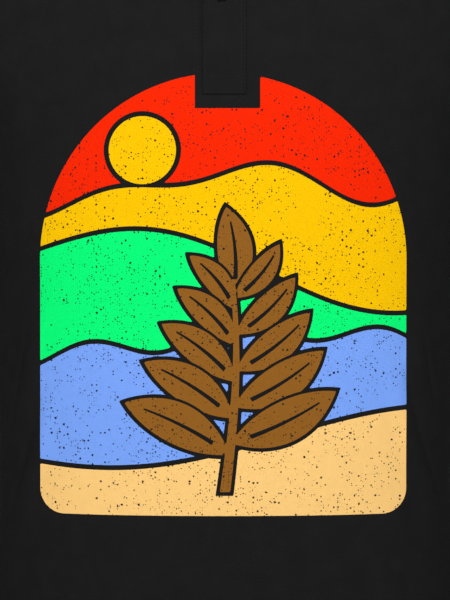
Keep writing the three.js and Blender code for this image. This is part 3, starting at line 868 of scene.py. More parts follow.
def panel_nets(name, settled, k):
    """The outside and inside nets of the front or the back, and its cloth coordinates."""
    columns = positions(COLUMNS, k, EDGE_STEPS, EDGE_STEPS)
    rows = positions(PANEL_ROWS, k, HEM_STEPS, EDGE_STEPS)
    net = resample(settled, rows, columns)
    normals = net_normals(net, NORMAL_SIGN[name])
    along, up = arc_lengths(net, 1), arc_lengths(net, 0)
    outer = net + normals * panel_relief(name, net)[..., None]
    thickness = CLOTH + HEM["fold"] * (1 - smoothstep(up, HEM["depth"], HEM["depth"] + HEM["fade"]))
    inner = outer - normals * thickness[..., None]
    for side in (outer, inner):
        side[0, :, 2] = HEM_Z
    middle = net.shape[1] // 2
    return outer, inner, np.stack([along - along[:, middle:middle + 1], up], axis=-1)


def ring_object(name, side, settled, rows, shape):
    """A sleeve or a cuff; shape gives its relief and thickness from the lengths down it."""
    columns = np.arange(settled.shape[1] * SMOOTHING) / SMOOTHING
    net = resample(settled, rows, columns, closed=True)
    normals = net_normals(net, NORMAL_SIGN[side], closed=True)
    down = arc_lengths(net, 0)
    relief, thickness = shape(down)
    outer = net + normals * relief[..., None]
    inner = outer - normals * thickness[..., None]
    round_once = arc_lengths(closed_up(net), 1)
    length = float(round_once[:, -1].mean())
    uv = np.stack([round_once[:, :-1] / round_once[:, -1:] * length, down], axis=-1)
    return shell_object(name, outer, inner, uv, wrap_length=length)


def sleeve_shape(down):
    return seam_relief(np.minimum(down, down[-1:] - down)), np.full_like(down, CLOTH)


CUFF_SINK = 0.0006  # how much lower than the sleeve the cuff lies
CUFF_LEAST = 0.05  # how far from the cuff's end its rounding starts, as a share of its radius
CUFF_STEPS = {"k": 4, "start": (0.05, 0.12), "end": (0.04, 0.1, 0.17)}


def cuff_shape(down):
    """The cuff's end is rounded."""
    thickness = RIB * rounded_edge(down[-1:] - down, RIB / 2, CUFF_LEAST)
    return seam_relief(down) - CUFF_SINK + (thickness - RIB) / 2, thickness


# Stitches
STITCH = {"length": 0.0025, "step": 0.0031, "radius": 0.00028}
STITCH_SIDES = 6
STITCH_RINGS = ((-0.5, 0.25, -0.9), (-0.3, 0.95, 0.1), (0.0, 1.0, 0.5), (0.3, 0.95, 0.1), (0.5, 0.25, -0.9))
ARMHOLE_STITCH = 0.0045
SHOULDER_STITCH = 0.0035


def stitch_template():
    """Points of one stitch along x, sunk at its ends, as closed rings, and its faces."""
    turn = np.arange(STITCH_SIDES) / STITCH_SIDES * 2 * math.pi
    points = []
    for along, size, lift in STITCH_RINGS:
        points.extend((along, math.cos(a) * size, math.sin(a) * size + lift) for a in turn)
    faces = grid_faces(len(STITCH_RINGS), STITCH_SIDES, 0, True).tolist()
    faces.append(list(range(STITCH_SIDES)))
    faces.append(list(range(len(points) - STITCH_SIDES, len(points)))[::-1])
    return np.array(points), faces


class Stitching:
    """Collects stitches and makes them one joined mesh."""

    def __init__(self):
        self.places = []

    def row(self, points, normals):
        """Stitches along a line of points with their outward normals."""
        run = arc_lengths(points[:, None, :], 0)[:, 0]
        count = int(run[-1] / STITCH["step"])
        if count < 1:
            return
        at = (np.arange(count) + 0.5) / count * run[-1]
        half = STITCH["length"] / 2

        def between(values, where):
            return np.stack([np.interp(where, run, values[:, k]) for k in range(3)], axis=-1)

        along = unit(between(points, at + half) - between(points, at - half))
        self.add(between(points, at), along, unit(between(normals, at)), STITCH["length"], STITCH["radius"])

    def add(self, centres, along, normals, length, radius):
        centres, along, normals = np.broadcast_arrays(np.atleast_2d(centres), along, normals)
        across = unit(np.cross(normals, along))
        up = unit(np.cross(along, across))
        self.places.append((centres, along * length, across * radius, up * radius))

    def make(self, name):
        template, faces = stitch_template()
        points, all_faces, start = [], [], 0
        for place in self.places:
            for c, t, s, n in zip(*place):
                points.append(c + template[:, :1] * t + template[:, 1:2] * s + template[:, 2:3] * n)
                all_faces.extend([[start + i for i in face] for face in faces])
                start += len(template)
        joined = mesh_object(name, np.concatenate(points), all_faces, outwards=True)
        return smooth_shaded(joined, sharp_degrees=80)


def line_up(net, lengths, height):
    """The line across a net at a length up each of its columns."""
    return np.array([
        [np.interp(height, lengths[:, c], net[:, c, k]) for k in range(3)] for c in range(net.shape[1])
    ])


def sew_panel(stitching, name, outer):
    """The hem's two needle rows, and the rows beside the armholes and the shoulder seams."""
    normals = net_normals(outer, NORMAL_SIGN[name])
    up = arc_lengths(outer, 0)

    def sew(places, facing, lengths, distance, part=slice(None)):
        stitching.row(line_up(places, lengths, distance)[part], line_up(facing, lengths, distance)[part])

    for height in HEM_ROWS:
        sew(outer, normals, up, height, slice(2, -2))
    upper = positions(PANEL_ROWS, SMOOTHING, HEM_STEPS, EDGE_STEPS) >= LOWER_ROWS
    along = arc_lengths(outer[upper], 1)
    for turn, lengths in ((1, along), (-1, along[:, -1:] - along)):
        nets = (outer[upper], normals[upper], lengths)
        sew(*(net[:, ::turn].swapaxes(0, 1) for net in nets), ARMHOLE_STITCH)
    if name == "back":
        count = outer.shape[1]
        shoulder = int(count * SHOULDER_COLUMNS / COLUMNS)
        for part in (slice(3, shoulder), slice(count - shoulder, -3)):
            sew(outer[::-1], normals[::-1], (up[-1:] - up)[::-1], SHOULDER_STITCH, part)


# The front as a height over x and z, for what is laid on it
FIELD = {"x": 0.168, "low": 0.10, "high": 0.672, "step": 0.0015}


class FrontField:
    """How far back the front's outer surface lies, at any x and z of its flat middle part."""

    def __init__(self, outer):
        tree = surface_tree([outer])
        step = FIELD["step"]
        self.x = np.arange(-FIELD["x"], FIELD["x"] + 1e-9, step)
        self.z = np.arange(FIELD["low"], FIELD["high"] + 1e-9, step)
        self.y = np.full((len(self.z), len(self.x)), np.nan)
        forward = Vector((0, 1, 0))
        for r, z in enumerate(self.z):
            for c, x in enumerate(self.x):
                hit = tree.ray_cast(Vector((x, -1, z)), forward, 1.0)[0]
                if hit is not None:
                    self.y[r, c] = hit.y
        for r in range(1, len(self.z)):
            missing = np.isnan(self.y[r])
            self.y[r, missing] = self.y[r - 1, missing]
        self.slope_z, self.slope_x = np.gradient(self.y, step)

    def sample(self, grid, x, z):
        cx = np.clip((x - self.x[0]) / FIELD["step"], 0, len(self.x) - 1.001)
        cz = np.clip((z - self.z[0]) / FIELD["step"], 0, len(self.z) - 1.001)
        i, j = cz.astype(int), cx.astype(int)
        low, high = (lerp(grid[row, j], grid[row, j + 1], cx - j) for row in (i, i + 1))
        return lerp(low, high, cz - i)

    def normal(self, x, z):
        slope_x, slope_z = self.sample(self.slope_x, x, z), self.sample(self.slope_z, x, z)
        return unit(np.stack([slope_x, -np.ones_like(slope_x), slope_z], axis=-1))

    def point(self, x, z, lift):
        """The point at x, z, lifted off the front along its normal."""
        base = np.stack([x, self.sample(self.y, x, z), z], axis=-1)
        return base + self.normal(x, z) * np.asarray(lift)[..., None]


def surface_tree(nets):
    """The surfaces of several nets, for rays to meet."""
    points, faces, at = [], [], 0
    for net in nets:
        points += net.reshape(-1, 3).tolist()
        faces += grid_faces(*net.shape[:2], at).tolist()
        at = len(points)
    return BVHTree.FromPolygons(points, faces)


# The placket
PLACKET = {
    "left": -0.0180,
    "right": 0.0170,
    "foot": 0.475,
    "thickness": 0.0014,
    "edge_share": 0.3,  # how thick its edge is, as a share of its thickness
    "edge_radius": 0.0011,
    "clear": 0.0007,
    "sewn_clear": 0.0002,  # along the sewn edge and the foot
    "sewn_reach": 0.004,
    "edge_lift": 0.0027,  # how far the free edge stands off
    "edge_reach": 0.0032,
    "box": 0.0143,  # height of the stitched box at its foot
    "top_drop": 0.002,
    "inner_drop": 0.007,
    "rows": 60,
}
PLACKET_STEPS = {"k": 1, "start": (0.15, 0.35, 0.6), "end": (0.15, 0.35, 0.6)}
EDGE_LIFT_Z = (0.485, 0.53)  # the heights between which the free edge comes off the cloth
PLACKET_ROWS_X = (-0.0155, 0.0127, 0.0158)  # the rows of stitches up the band
PLACKET_ROWS_Z = (PLACKET["foot"] + 0.0016, PLACKET["foot"] + PLACKET["box"])  # and across it
UNDER_ROWS_X = (-0.0215, -0.0238)  # the rows on the cloth beside the free edge
STITCHED = {"dip": 0.00030, "width_x": 0.0006, "width_z": 0.0007, "sink": 0.00025, "top_drop": 0.006}
STITCHED_LINES = {"up": 90, "across": 20}  # how many points a row of stitches follows


def neck_height(form, x):
    return form.neckline(1 - np.abs(x) / NECK_POINT[0], "front")[1]


def placket_columns():
    """Places across the band, closer together at its edges and at its rows of stitches."""
    edge = np.array([0.0, 0.00025, 0.0006, 0.0011, 0.0017])
    by_row = np.array([-0.0008, -0.0004, 0, 0.0004, 0.0008])
    inside = np.linspace(PLACKET["left"] + 0.0025, PLACKET["right"] - 0.0025, 21)
    rows = [row + by_row for row in PLACKET_ROWS_X]
    places = np.concatenate([PLACKET["left"] + edge, inside, PLACKET["right"] - edge, *rows])
    return np.unique(np.round(places, 6))


def band_lift(x, z):
    """How far the outer band lies off the front, which is more along its free edge."""
    edge = bump_at(x, PLACKET["left"], PLACKET["edge_reach"]) * smoothstep(z, *EDGE_LIFT_Z)
    from_sewn = np.minimum(PLACKET["right"] - x, z - PLACKET["foot"])
    clear = lerp(PLACKET["sewn_clear"], PLACKET["clear"], smoothstep(from_sewn, 0, PLACKET["sewn_reach"]))
    return clear + PLACKET["edge_lift"] * edge


def placket_nets(form, field, outside):
    """The outside and inside nets of a placket band, and its cloth coordinates."""
    x = placket_columns()
    top = neck_height(form, x) - PLACKET["top_drop" if outside else "inner_drop"]
    share = positions(PLACKET["rows"], **PLACKET_STEPS) / PLACKET["rows"]
    z = lerp(PLACKET["foot"], top, share[:, None])
    x = np.broadcast_to(x, z.shape)
    to_edge = np.minimum(np.minimum(x - PLACKET["left"], PLACKET["right"] - x), z - PLACKET["foot"])
    edge = lerp(PLACKET["edge_share"], 1, rounded_edge(to_edge, PLACKET["edge_radius"]))
    thickness = PLACKET["thickness"] * edge
    for row in PLACKET_ROWS_X:
        thickness -= STITCHED["dip"] * bump_at(x, row, STITCHED["width_x"])
    for row in PLACKET_ROWS_Z:
        thickness -= STITCHED["dip"] * bump_at(z, row, STITCHED["width_z"])
    low = band_lift(x, z) if outside else -CLOTH - SEAM_RISE - PLACKET["clear"] - thickness
    return field.point(x, z, low + thickness), field.point(x, z, low), np.stack([x, z], axis=-1)


def sew_placket(stitching, form, field):
    """Rows up the band, the box at its foot, and the two rows beside its free edge."""

    def run(xs, zs, on_band):
        xs, zs = np.broadcast_arrays(xs, zs)
        lift = band_lift(xs, zs) + PLACKET["thickness"] - STITCHED["sink"] if on_band else 0 * xs
        stitching.row(field.point(xs, zs, lift), field.normal(xs, zs))

    for rows, low, on_band in zip((PLACKET_ROWS_X, UNDER_ROWS_X), PLACKET_ROWS_Z, (True, False)):
        for x in rows:
            top = float(neck_height(form, np.array([x]))[0]) - STITCHED["top_drop"]
            run(x, np.linspace(low, top, STITCHED_LINES["up"]), on_band)
    for z in PLACKET_ROWS_Z:
        run(np.linspace(PLACKET_ROWS_X[0], PLACKET_ROWS_X[-1], STITCHED_LINES["across"]), z, True)


# The collar
COLLAR = {
    "lean": 0.005,
    "flare": 0.001,
    "rise": 0.0013,
    "middle": 0.55,
    "fold": 0.0034,
    "bulge": 0.0032,
    "clear": 0.0009,
    "steps": 150,
    "edge_share": 0.25,  # how thick its edge is, as a share of its thickness
    "edge_radius": 0.0012,
}
STAND = {"front": 0.019, "side": 0.026, "back": 0.040}
COLLAR_POINT = (0.057, 0.590)
COLLAR_EDGE_OUT = {"side": 0.027, "back": 0.022}
COLLAR_OPEN_SHARE = 0.012
COLLAR_STEPS = {"k": 6, "start": (0.05,), "end": (0.03, 0.08, 0.13)}
COLLAR_SWELLS = ((0.33, 0.95), (0.66, 0.75))  # places down the fall, and their shares of the bulge
COLLAR_SWAYS = ((0.0007, 61, 0), (0.0005, 143, 1))  # height, turns and start of the edge's slight waves
SWAY_SHARES = (0.55, 1.0)  # where the waves set in, as shares of the way across the collar
NECK_FRONT_SHARE = 0.28
WING_SHARE = 0.30
WING_CURVE = 1.5
FRAME_CLOTH = 0.002  # the frame's cloth is thicker, and the collar's foot lies inside it
RAY_START = 0.03  # how far outside a surface a ray to it starts


def neck_seam(form, share):
    """The neck seam, share 0 at the middle of the front, going round by +X to the front again."""
    turned = np.minimum(share, 1 - share)
    front_angle, front_z = form.neckline(1 - np.minimum(turned / NECK_FRONT_SHARE, 1), "front")
    back_turn = np.clip((turned - NECK_FRONT_SHARE) / (0.5 - NECK_FRONT_SHARE), 0, 1)
    back_angle, back_z = form.neckline(back_turn, "back")
    on_front = turned < NECK_FRONT_SHARE
    angle = np.where(on_front, front_angle, -back_angle)
    angle = np.where(share <= 0.5, angle, math.pi - angle)
    point = form.point(angle, np.where(on_front, front_z, back_z))
    middle = np.array([0, BOX_SHIFT, 0])
    widths = np.array([NECK_POINT[0] ** 2, NECK_DEPTH["front"] ** 2, np.inf])
    return point, unit((point - middle) / widths), turned


def collar_edge(form, share):
    """Where the free edge of the collar lies on the form: a point and the way out of the cloth."""
    point, outward, turned = neck_seam(form, share)
    wing = 1 - smoothstep(turned, 0, WING_SHARE)
    reach = lerp(COLLAR_EDGE_OUT["side"], COLLAR_EDGE_OUT["back"], smoothstep(turned, WING_SHARE, 0.5))
    tip = wing ** WING_CURVE
    x = lerp(np.abs(point[:, 0]) + np.abs(outward[:, 0]) * reach, COLLAR_POINT[0], tip)
    y = point[:, 1] - BOX_SHIFT + outward[:, 1] * reach * (1 - tip)
    z = lerp(form.height_at(x, y, COLLAR_POINT[1]), COLLAR_POINT[1], tip)
    angle = form.angle_at(x, z) * np.where(y < 0, 1, -1)
    angle = np.where(share <= 0.5, angle, math.pi - angle)
    return form.point(angle, z), form.normal(angle, z)


def rest_on(tree, points, normals, clear):
    """Moves points along their normals until they lie just clear of a surface."""
    out = points.copy()
    for i, (p, n) in enumerate(zip(points, normals)):
        hit = tree.ray_cast(Vector(p + n * RAY_START), Vector(-n), 2 * RAY_START)[0]
        if hit is not None:
            out[i] = np.array(hit) + n * clear
    return out


def collar_lines(form, body_tree, share):
    """The lines along the collar, from its foot in the neck over the fold to its edge."""
    point, outward, turned = neck_seam(form, share)
    up = np.array([0.0, 0.0, 1.0])
    to_side = smoothstep(turned, 0, NECK_FRONT_SHARE)
    to_back = smoothstep(turned, NECK_FRONT_SHARE, 0.5)
    stand = lerp(STAND["front"], STAND["side"], to_side) + (STAND["back"] - STAND["side"]) * to_back
    foot_in = COLLAR["lean"] + FRAME_CLOTH + RIB / 2
    foot = point - outward * foot_in + up * COLLAR["rise"]
    top = point - outward * (foot_in - COLLAR["flare"]) + up * stand[:, None]
    crown = top + (outward + up) * COLLAR["fold"]
    out_top = top + outward * 2 * COLLAR["fold"]
    edge = rest_on(body_tree, *collar_edge(form, share), COLLAR["clear"] + RIB / 2)
    side = np.stack([-outward[:, 1], outward[:, 0], 0 * share], axis=-1)
    fall_normal = unit(np.cross(unit(edge - out_top), side))
    fall_normal *= np.where((fall_normal * outward).sum(-1) < 0, -1, 1)[:, None]
    swells = [lerp(out_top, edge, t) + fall_normal * COLLAR["bulge"] * swell for t, swell in COLLAR_SWELLS]
    lines = [foot, lerp(foot, top, COLLAR["middle"]), top, crown, out_top, *swells, edge]
    return np.stack(lines, axis=1), outward


def collar_nets(form, body_tree):
    """The outside and inside nets of the collar, and its cloth coordinates."""
    share = np.linspace(COLLAR_OPEN_SHARE, 1 - COLLAR_OPEN_SHARE, COLLAR["steps"] + 1)
    rough, outward = collar_lines(form, body_tree, share)
    columns = positions(rough.shape[1] - 1, **COLLAR_STEPS)
    net = along_rows(rough.swapaxes(0, 1), columns).swapaxes(0, 1)
    across = arc_lengths(net, 1)
    normals = net_normals(net, 1)
    middle = len(share) // 2
    if (normals[middle, -6] * outward[middle]).sum() < 0:
        normals = -normals
    sway = np.abs(sum(height * np.sin(share * turns + start) for height, turns, start in COLLAR_SWAYS))
    fall_share = smoothstep(across / across[:, -1:], *SWAY_SHARES)
    net = net + normals * (sway[:, None] * fall_share)[..., None]
    to_edge = np.minimum(across[:, -1:] - across, from_ends(net, 0))
    edge = lerp(COLLAR["edge_share"], 1, rounded_edge(to_edge, COLLAR["edge_radius"]))
    half = normals * (RIB * edge / 2)[..., None]
    along = arc_lengths(net, 0)[:, net.shape[1] // 2]
    uv = np.stack([np.broadcast_to(along[:, None], across.shape), across], axis=-1)
    return net + half, net - half, uv


# Buttons, their thread and their holes
BUTTON = {
    "radius": 0.0057,
    "thickness": 0.0026,
    "rim": 0.0007,
    "dish": 0.0006,
    "bevel": 0.00022,
    "foot": 0.0004,
    "hollow": 0.0003,  # how far the middle of its back lies in
    "hollow_share": 0.55,
    "dip": 0.0001,
    "hole": 0.00085,
    "pitch": 0.0013,
    "clear": 0.0003,
    "sides": 64,
}
BUTTON_HEIGHTS = {"lower": 0.5545, "upper": 0.620}
BUTTON_X = -0.0027
PIN = {"low": -0.002, "high": 0.005, "sides": 20}  # what cuts each hole
BUTTON_THREAD = {"apart": 0.00022, "rise": 0.00015, "past": 0.0014, "radius": 0.00032}
BUTTONHOLE = {"length": 0.0150, "width": 0.0024, "step": 0.00055, "sink": 0.00035}
HOLE_STITCH = {"at": 0.62, "length": 0.95, "radius": 0.00026}  # at and length are shares of its half width
HOLE_END = {"length": 1.1, "radius": 0.0005}  # its length is a share of the width


def lathe_object(name, outline, sides):
    """A solid of revolution about z from an outline of radius and height that starts and ends at 0."""
    turn = np.arange(sides) / sides * 2 * math.pi
    points, rings = [], []
    for radius, height in outline:
        count = sides if radius else 1
        rings.append([len(points) + i % count for i in range(sides)])
        points += [(radius * math.cos(a), radius * math.sin(a), height) for a in turn[:count]]
    faces = []
    for low, high in zip(rings, rings[1:]):
        for i in range(sides):
            j = (i + 1) % sides
            faces.append(list(dict.fromkeys((low[i], low[j], high[j], high[i]))))
    return mesh_object(name, points, faces, outwards=True)


def button_frame(field, z):
    """The middle of the button's back and its three directions: across, up and outwards."""
    x, height = np.array([BUTTON_X]), np.array([z])
    normal = field.normal(x, height)[0]
    lift = PLACKET["clear"] + PLACKET["thickness"] + BUTTON["clear"]
    middle = field.point(x, height, np.array([lift]))[0]
    across = unit(np.cross(np.array([0.0, 0.0, 1.0]), normal))
    return middle, across, np.cross(normal, across), normal


def button_object(name, place):
    """A four-hole button with a dished face and rounded edges."""
    radius, thickness, rim, dish, bevel = (
        BUTTON[key] for key in ("radius", "thickness", "rim", "dish", "bevel")
    )
    outline = [
        (0, BUTTON["hollow"]),
        (radius * BUTTON["hollow_share"], BUTTON["hollow"]),
        (radius - rim - BUTTON["foot"], 0),
        (radius - bevel, rim * 0.6),
        (radius, rim),
        (radius, thickness - rim),
        (radius - bevel, thickness - bevel),
        (radius - 0.6 * rim, thickness),
        (radius - 1.7 * rim, thickness),
        (radius - 2.1 * rim, thickness - bevel),
        (radius - 2.7 * rim, thickness - dish),
        (0, thickness - dish - BUTTON["dip"]),
    ]
    obj = lathe_object(name, outline, BUTTON["sides"])
    hole, low, high = BUTTON["hole"], PIN["low"], PIN["high"]
    pins = []
    for sx, sy in ((-1, -1), (-1, 1), (1, -1), (1, 1)):
        pin = lathe_object("pin", [(0, low), (hole, low), (hole, high), (0, high)], PIN["sides"])
        pin.location = (sx * BUTTON["pitch"], sy * BUTTON["pitch"], 0)
        cut = obj.modifiers.new("hole", "BOOLEAN")
        set_all(cut, {"operation": "DIFFERENCE", "solver": "EXACT", "object": pin})
        pins.append(pin)
    bpy.context.view_layer.update()
    evaluated = obj.evaluated_get(bpy.context.evaluated_depsgraph_get())
    mesh = bpy.data.meshes.new_from_object(evaluated)
    mesh.materials.clear()
    obj.modifiers.clear()
    obj.data = mesh
    for pin in pins:
        bpy.data.objects.remove(pin)
    middle, across, up, normal = place
    local = np.empty(len(mesh.vertices) * 3)
    mesh.vertices.foreach_get("co", local)
    local = local.reshape(-1, 3)
    world = middle + local[:, :1] * across + local[:, 1:2] * up + local[:, 2:3] * normal
    mesh.vertices.foreach_set("co", world.ravel())
    mesh.update()
    return smooth_shaded(obj, sharp_degrees=35)


def sew_button(stitching, place):
    """Two doubled threads through the button's holes, and the close stitches of its buttonhole."""
    middle, across, up, normal = place
    face = BUTTON["thickness"] - BUTTON["dish"] + BUTTON_THREAD["rise"]
    length = 2 * BUTTON["pitch"] + BUTTON_THREAD["past"]
    for side in (-1, 1):
        for shift in (-BUTTON_THREAD["apart"], BUTTON_THREAD["apart"]):
            centre = middle + across * (side * BUTTON["pitch"] + shift) + normal * face
            stitching.add(centre, up, normal, length, BUTTON_THREAD["radius"])
    half, wide = BUTTONHOLE["length"] / 2, BUTTONHOLE["width"] / 2
    base = middle - normal * BUTTONHOLE["sink"]
    heights = np.arange(-half, half, BUTTONHOLE["step"])[:, None]
    for side in (-1, 1):
        centres = base + up * heights + across * (side * wide * HOLE_STITCH["at"])
        stitching.add(centres, across, normal, wide * HOLE_STITCH["length"], HOLE_STITCH["radius"])
    for end in (-1, 1):
        length = BUTTONHOLE["width"] * HOLE_END["length"]
        stitching.add(base + up * (end * half), across, normal, length, HOLE_END["radius"])


# The tape inside the back of the neck
TAPE = {"rows": 1.35, "top": 0.06, "past": 0.5, "inset": 0.0006, "thickness": 0.0005, "seam_share": 0.2}
TAPE_LINES = {"rows": 10, "columns": 100}


def tape_nets(settled_back):
    """The outside and inside nets of the tape, and its cloth coordinates."""
    rows = np.linspace(PANEL_ROWS - TAPE["rows"], PANEL_ROWS - TAPE["top"], TAPE_LINES["rows"])
    first = SHOULDER_COLUMNS - TAPE["past"]
    net = resample(settled_back, rows, np.linspace(first, COLUMNS - first, TAPE_LINES["columns"]))
    normals = net_normals(net, NORMAL_SIGN["back"])
    outer = net - normals * (TAPE["inset"] + CLOTH - SEAM_RISE * TAPE["seam_share"])
    inner = outer - normals * TAPE["thickness"]
    return outer, inner, np.stack([arc_lengths(net, 1), arc_lengths(net, 0)], axis=-1)


# The print: layered hills under a sky with a sun, in an arched window, with a leafy sprig in front.
# Its fields are positive inside a shape, in millimetres, over x and z in millimetres.
WINDOW = {"middle": -1.5, "half": 148.5, "low": 139.0, "high": 492.0, "corner": 20.0}
BARE = {"left": -24.0, "right": 28.0, "low": 464.0}  # no ink here, round the foot of the placket
INK_GAP = 4.0
KEYLINE = 3.0
OUTSIDE = -99.0  # a field's value far outside every shape
HILLS = (
    {"z": 404, "slope": 0.05, "waves": ((13, -70, 41), (9, 10, 23))},
    {"z": 338, "slope": -0.10, "waves": ((24, -150, 58),)},
    {"z": 277, "slope": 0.0, "waves": ((9, -20, 19), (12, -60, 66))},
    {"z": 199, "slope": 0.06, "waves": ((17, 40, 74),)},
)
SUN = {"x": -66.0, "z": 431.0, "radius": 27.0}
SPRIG = {"x": 0.0, "low": 158.0, "high": 328.0, "bend": 9.0, "turn": 2.4, "pairs": 5, "step": 29.0}
STEM = {"foot": 4.2, "tip": 1.6}
LEAF = {"gap": 2.2, "rib": 1.3, "rib_share": 0.33, "rib_taper": 0.4, "bow": 4.0, "blunt": 1.5}
TOP_LEAF = {"below": 12, "angle": 95, "length": 70, "half": 14}
SIDE_LEAF = {"above": 30, "offset": 9, "angle": 64, "turn": 6, "length": 94, "half": 16.5, "shrink": 0.10}

# The ink as a film on the front, in metres
INK = {"lift": 0.00022, "sink": 0.0003, "step": 0.0012, "same": 1e-6}
PRINT_AREA = {"x": (-0.156, 0.156), "z": (0.135, 0.498)}


def window_field(x, z):
    """The arched window with rounded lower corners, less the place of the placket's foot."""
    half, corner = WINDOW["half"], WINDOW["corner"]
    spring = WINDOW["high"] - half
    across = np.abs(x - WINDOW["middle"])
    field = np.where(z > spring, half - np.hypot(across, z - spring), half - across)
    dz = WINDOW["low"] + corner - z
    rounded = corner - np.hypot(np.maximum(across - (half - corner), 0), np.maximum(dz, 0))
    field = np.where(dz > 0, np.minimum(field, rounded), field)
    bare = np.maximum(np.maximum(BARE["left"] - x, x - BARE["right"]), BARE["low"] - z)
    return np.minimum(field, bare)


def hill_line(x, z, slope, waves):
    """The height of a line between two layers, with waves of a height, a start and a length."""
    return z + slope * x + sum(height * np.sin((x - start) / length) for height, start, length in waves)


def stem_x(z):
    """The middle of the sprig's stem at a height."""
    share = (z - SPRIG["low"]) / (SPRIG["high"] - SPRIG["low"])
    return SPRIG["x"] + SPRIG["bend"] * np.sin(SPRIG["turn"] * share)


def leaf_field(x, z, foot, angle, length, half):
    """A pointed leaf from a height on the stem, and the slit along its midrib."""
    dx, dz = x - stem_x(foot), z - foot
    c, s = math.cos(math.radians(angle)), math.sin(math.radians(angle))
    along = dx * c + dz * s - length / 2
    across = dz * c - dx * s + LEAF["bow"] * (1 - (2 * along / length) ** 2)
    radius = (length**2 / 4 + half**2) / (2 * half)
    arcs = radius - np.hypot(along, np.abs(across) + radius - half)
    leaf = np.minimum(arcs, length / 2 + LEAF["blunt"] - np.hypot(along, across))
    reach = LEAF["rib_share"] * length
    rib = LEAF["rib"] * (1 - LEAF["rib_taper"] * along / reach) - np.abs(across)
    return leaf, np.minimum(rib, reach - np.abs(along))


def sprig_leaves(x, z):
    """The leaves, from the top one down, each after those behind it."""
    angle, length, half = (TOP_LEAF[key] for key in ("angle", "length", "half"))
    yield leaf_field(x, z, SPRIG["high"] - TOP_LEAF["below"], angle, length, half)
    lowest = SPRIG["low"] + SIDE_LEAF["above"]
    for i in reversed(range(SPRIG["pairs"])):
        size = 1 - SIDE_LEAF["shrink"] * i
        for side in (1, -1):
            foot = lowest + i * SPRIG["step"] + (SIDE_LEAF["offset"] if side > 0 else 0)
            angle = 90 - side * (SIDE_LEAF["angle"] - SIDE_LEAF["turn"] * i)
            yield leaf_field(x, z, foot, angle, SIDE_LEAF["length"] * size, SIDE_LEAF["half"] * size)


def sprig_fields(x, z):
    """The whole silhouette of the sprig, and the ink in it, with a gap round each nearer leaf."""
    ink = silhouette = np.full_like(x, OUTSIDE)
    for leaf, rib in sprig_leaves(x, z):
        ink = np.maximum(np.minimum(ink, -(leaf + LEAF["gap"])), np.minimum(leaf, -rib))
        silhouette = np.maximum(silhouette, leaf)
    low, high = SPRIG["low"], SPRIG["high"]
    half = lerp(STEM["foot"], STEM["tip"], np.clip((z - low) / (high - low), 0, 1))
    stem = np.minimum(half - np.abs(x - stem_x(z)), np.minimum(z - low, high - z))
    return np.maximum(silhouette, stem), np.maximum(ink, stem)


def print_fields(x, z):
    """The field of each colour."""
    outline, sprig = sprig_fields(x, z)
    behind = np.minimum(window_field(x, z), -(outline + KEYLINE))
    sun = SUN["radius"] - np.hypot(x - SUN["x"], z - SUN["z"])
    lines = [np.inf, *(hill_line(x, **hill) for hill in HILLS), -np.inf]
    fields = {}
    for name, above, below in zip(("red", "amber", "green", "blue", "sand"), lines, lines[1:]):
        fields[name] = np.minimum(behind, np.minimum(above - z, z - below) - INK_GAP / 2)
    fields["red"] = np.minimum(fields["red"], -(sun + INK_GAP))
    fields["amber"] = np.maximum(fields["amber"], np.minimum(sun, behind))
    fields["brown"] = sprig
    return fields


def cut_triangles(points, values, triangles):
    """The part of a triangulated sheet where the values are positive, cut along their zero line."""
    inside = values[triangles] > 0
    count = inside.sum(axis=1)
    kept = [points[triangles[count == 3]]]

    def cut(met, k):
        """The corners of some triangles from their kth on, and where its two sides cross the line."""
        turned = np.roll(triangles[met], -k, axis=1).T
        (a, b, c), (va, vb, vc) = points[turned], values[turned]
        ab, ac = (a + (end - a) * (va / (va - v))[:, None] for end, v in ((b, vb), (c, vc)))
        return a, b, c, ab, ac

    for k in range(3):
        a, _, _, ab, ac = cut((count == 1) & inside[:, k], k)
        kept.append(np.stack([a, ab, ac], axis=1))
        _, b, c, ab, ac = cut((count == 2) & ~inside[:, k], k)
        kept.append(np.stack([ab, b, c], axis=1))
        kept.append(np.stack([ab, c, ac], axis=1))
    corners = np.concatenate(kept).reshape(-1, points.shape[1])
    keys = np.round(corners / INK["same"]).astype(np.int64)
    _, first, inverse = np.unique(keys, axis=0, return_index=True, return_inverse=True)
    faces = inverse.reshape(-1, 3)
    proper = (faces[:, 0] != faces[:, 1]) & (faces[:, 1] != faces[:, 2]) & (faces[:, 0] != faces[:, 2])
    return corners[first], faces[proper]


def ink_object(name, flat, faces, field):
    """A closed film of ink from a flat shape over x and z, laid on the front."""
    outer, inner = (field.point(*flat.T, np.full(len(flat), lift)) for lift in (INK["lift"], -INK["sink"]))
    edges = np.concatenate([faces[:, [0, 1]], faces[:, [1, 2]], faces[:, [2, 0]]])
    _, first, counts = np.unique(np.sort(edges, axis=1), axis=0, return_index=True, return_counts=True)
    a, b = edges[first[counts == 1]].T
    n = len(flat)
    walls = np.stack([a, b, b + n, a + n], axis=-1)
    all_faces = faces.tolist() + (faces[:, ::-1] + n).tolist() + walls.tolist()
    obj = mesh_object(name, np.concatenate([outer, inner]), all_faces, outwards=True)
    cloth_map(obj, flat[None, :, :])
    return smooth_shaded(obj)


def print_objects(field):
    """The film of each colour."""
    x, z = (np.arange(*PRINT_AREA[way], INK["step"]) for way in ("x", "z"))
    points = np.stack([grid.ravel() for grid in np.meshgrid(x, z)], axis=-1)
    quads = grid_faces(len(z), len(x), 0)
    triangles = np.concatenate([quads[:, [0, 1, 2]], quads[:, [0, 2, 3]]])
    for name, values in print_fields(*(points * 1000).T).items():
        yield name, ink_object(f"print_{name}", *cut_triangles(points, values, triangles), field)


def finish_piece(obj, material, slot, *nodes):
    obj.data.materials.append(material)
    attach(obj, "root")
    if nodes:
        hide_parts(*nodes)
    return obj


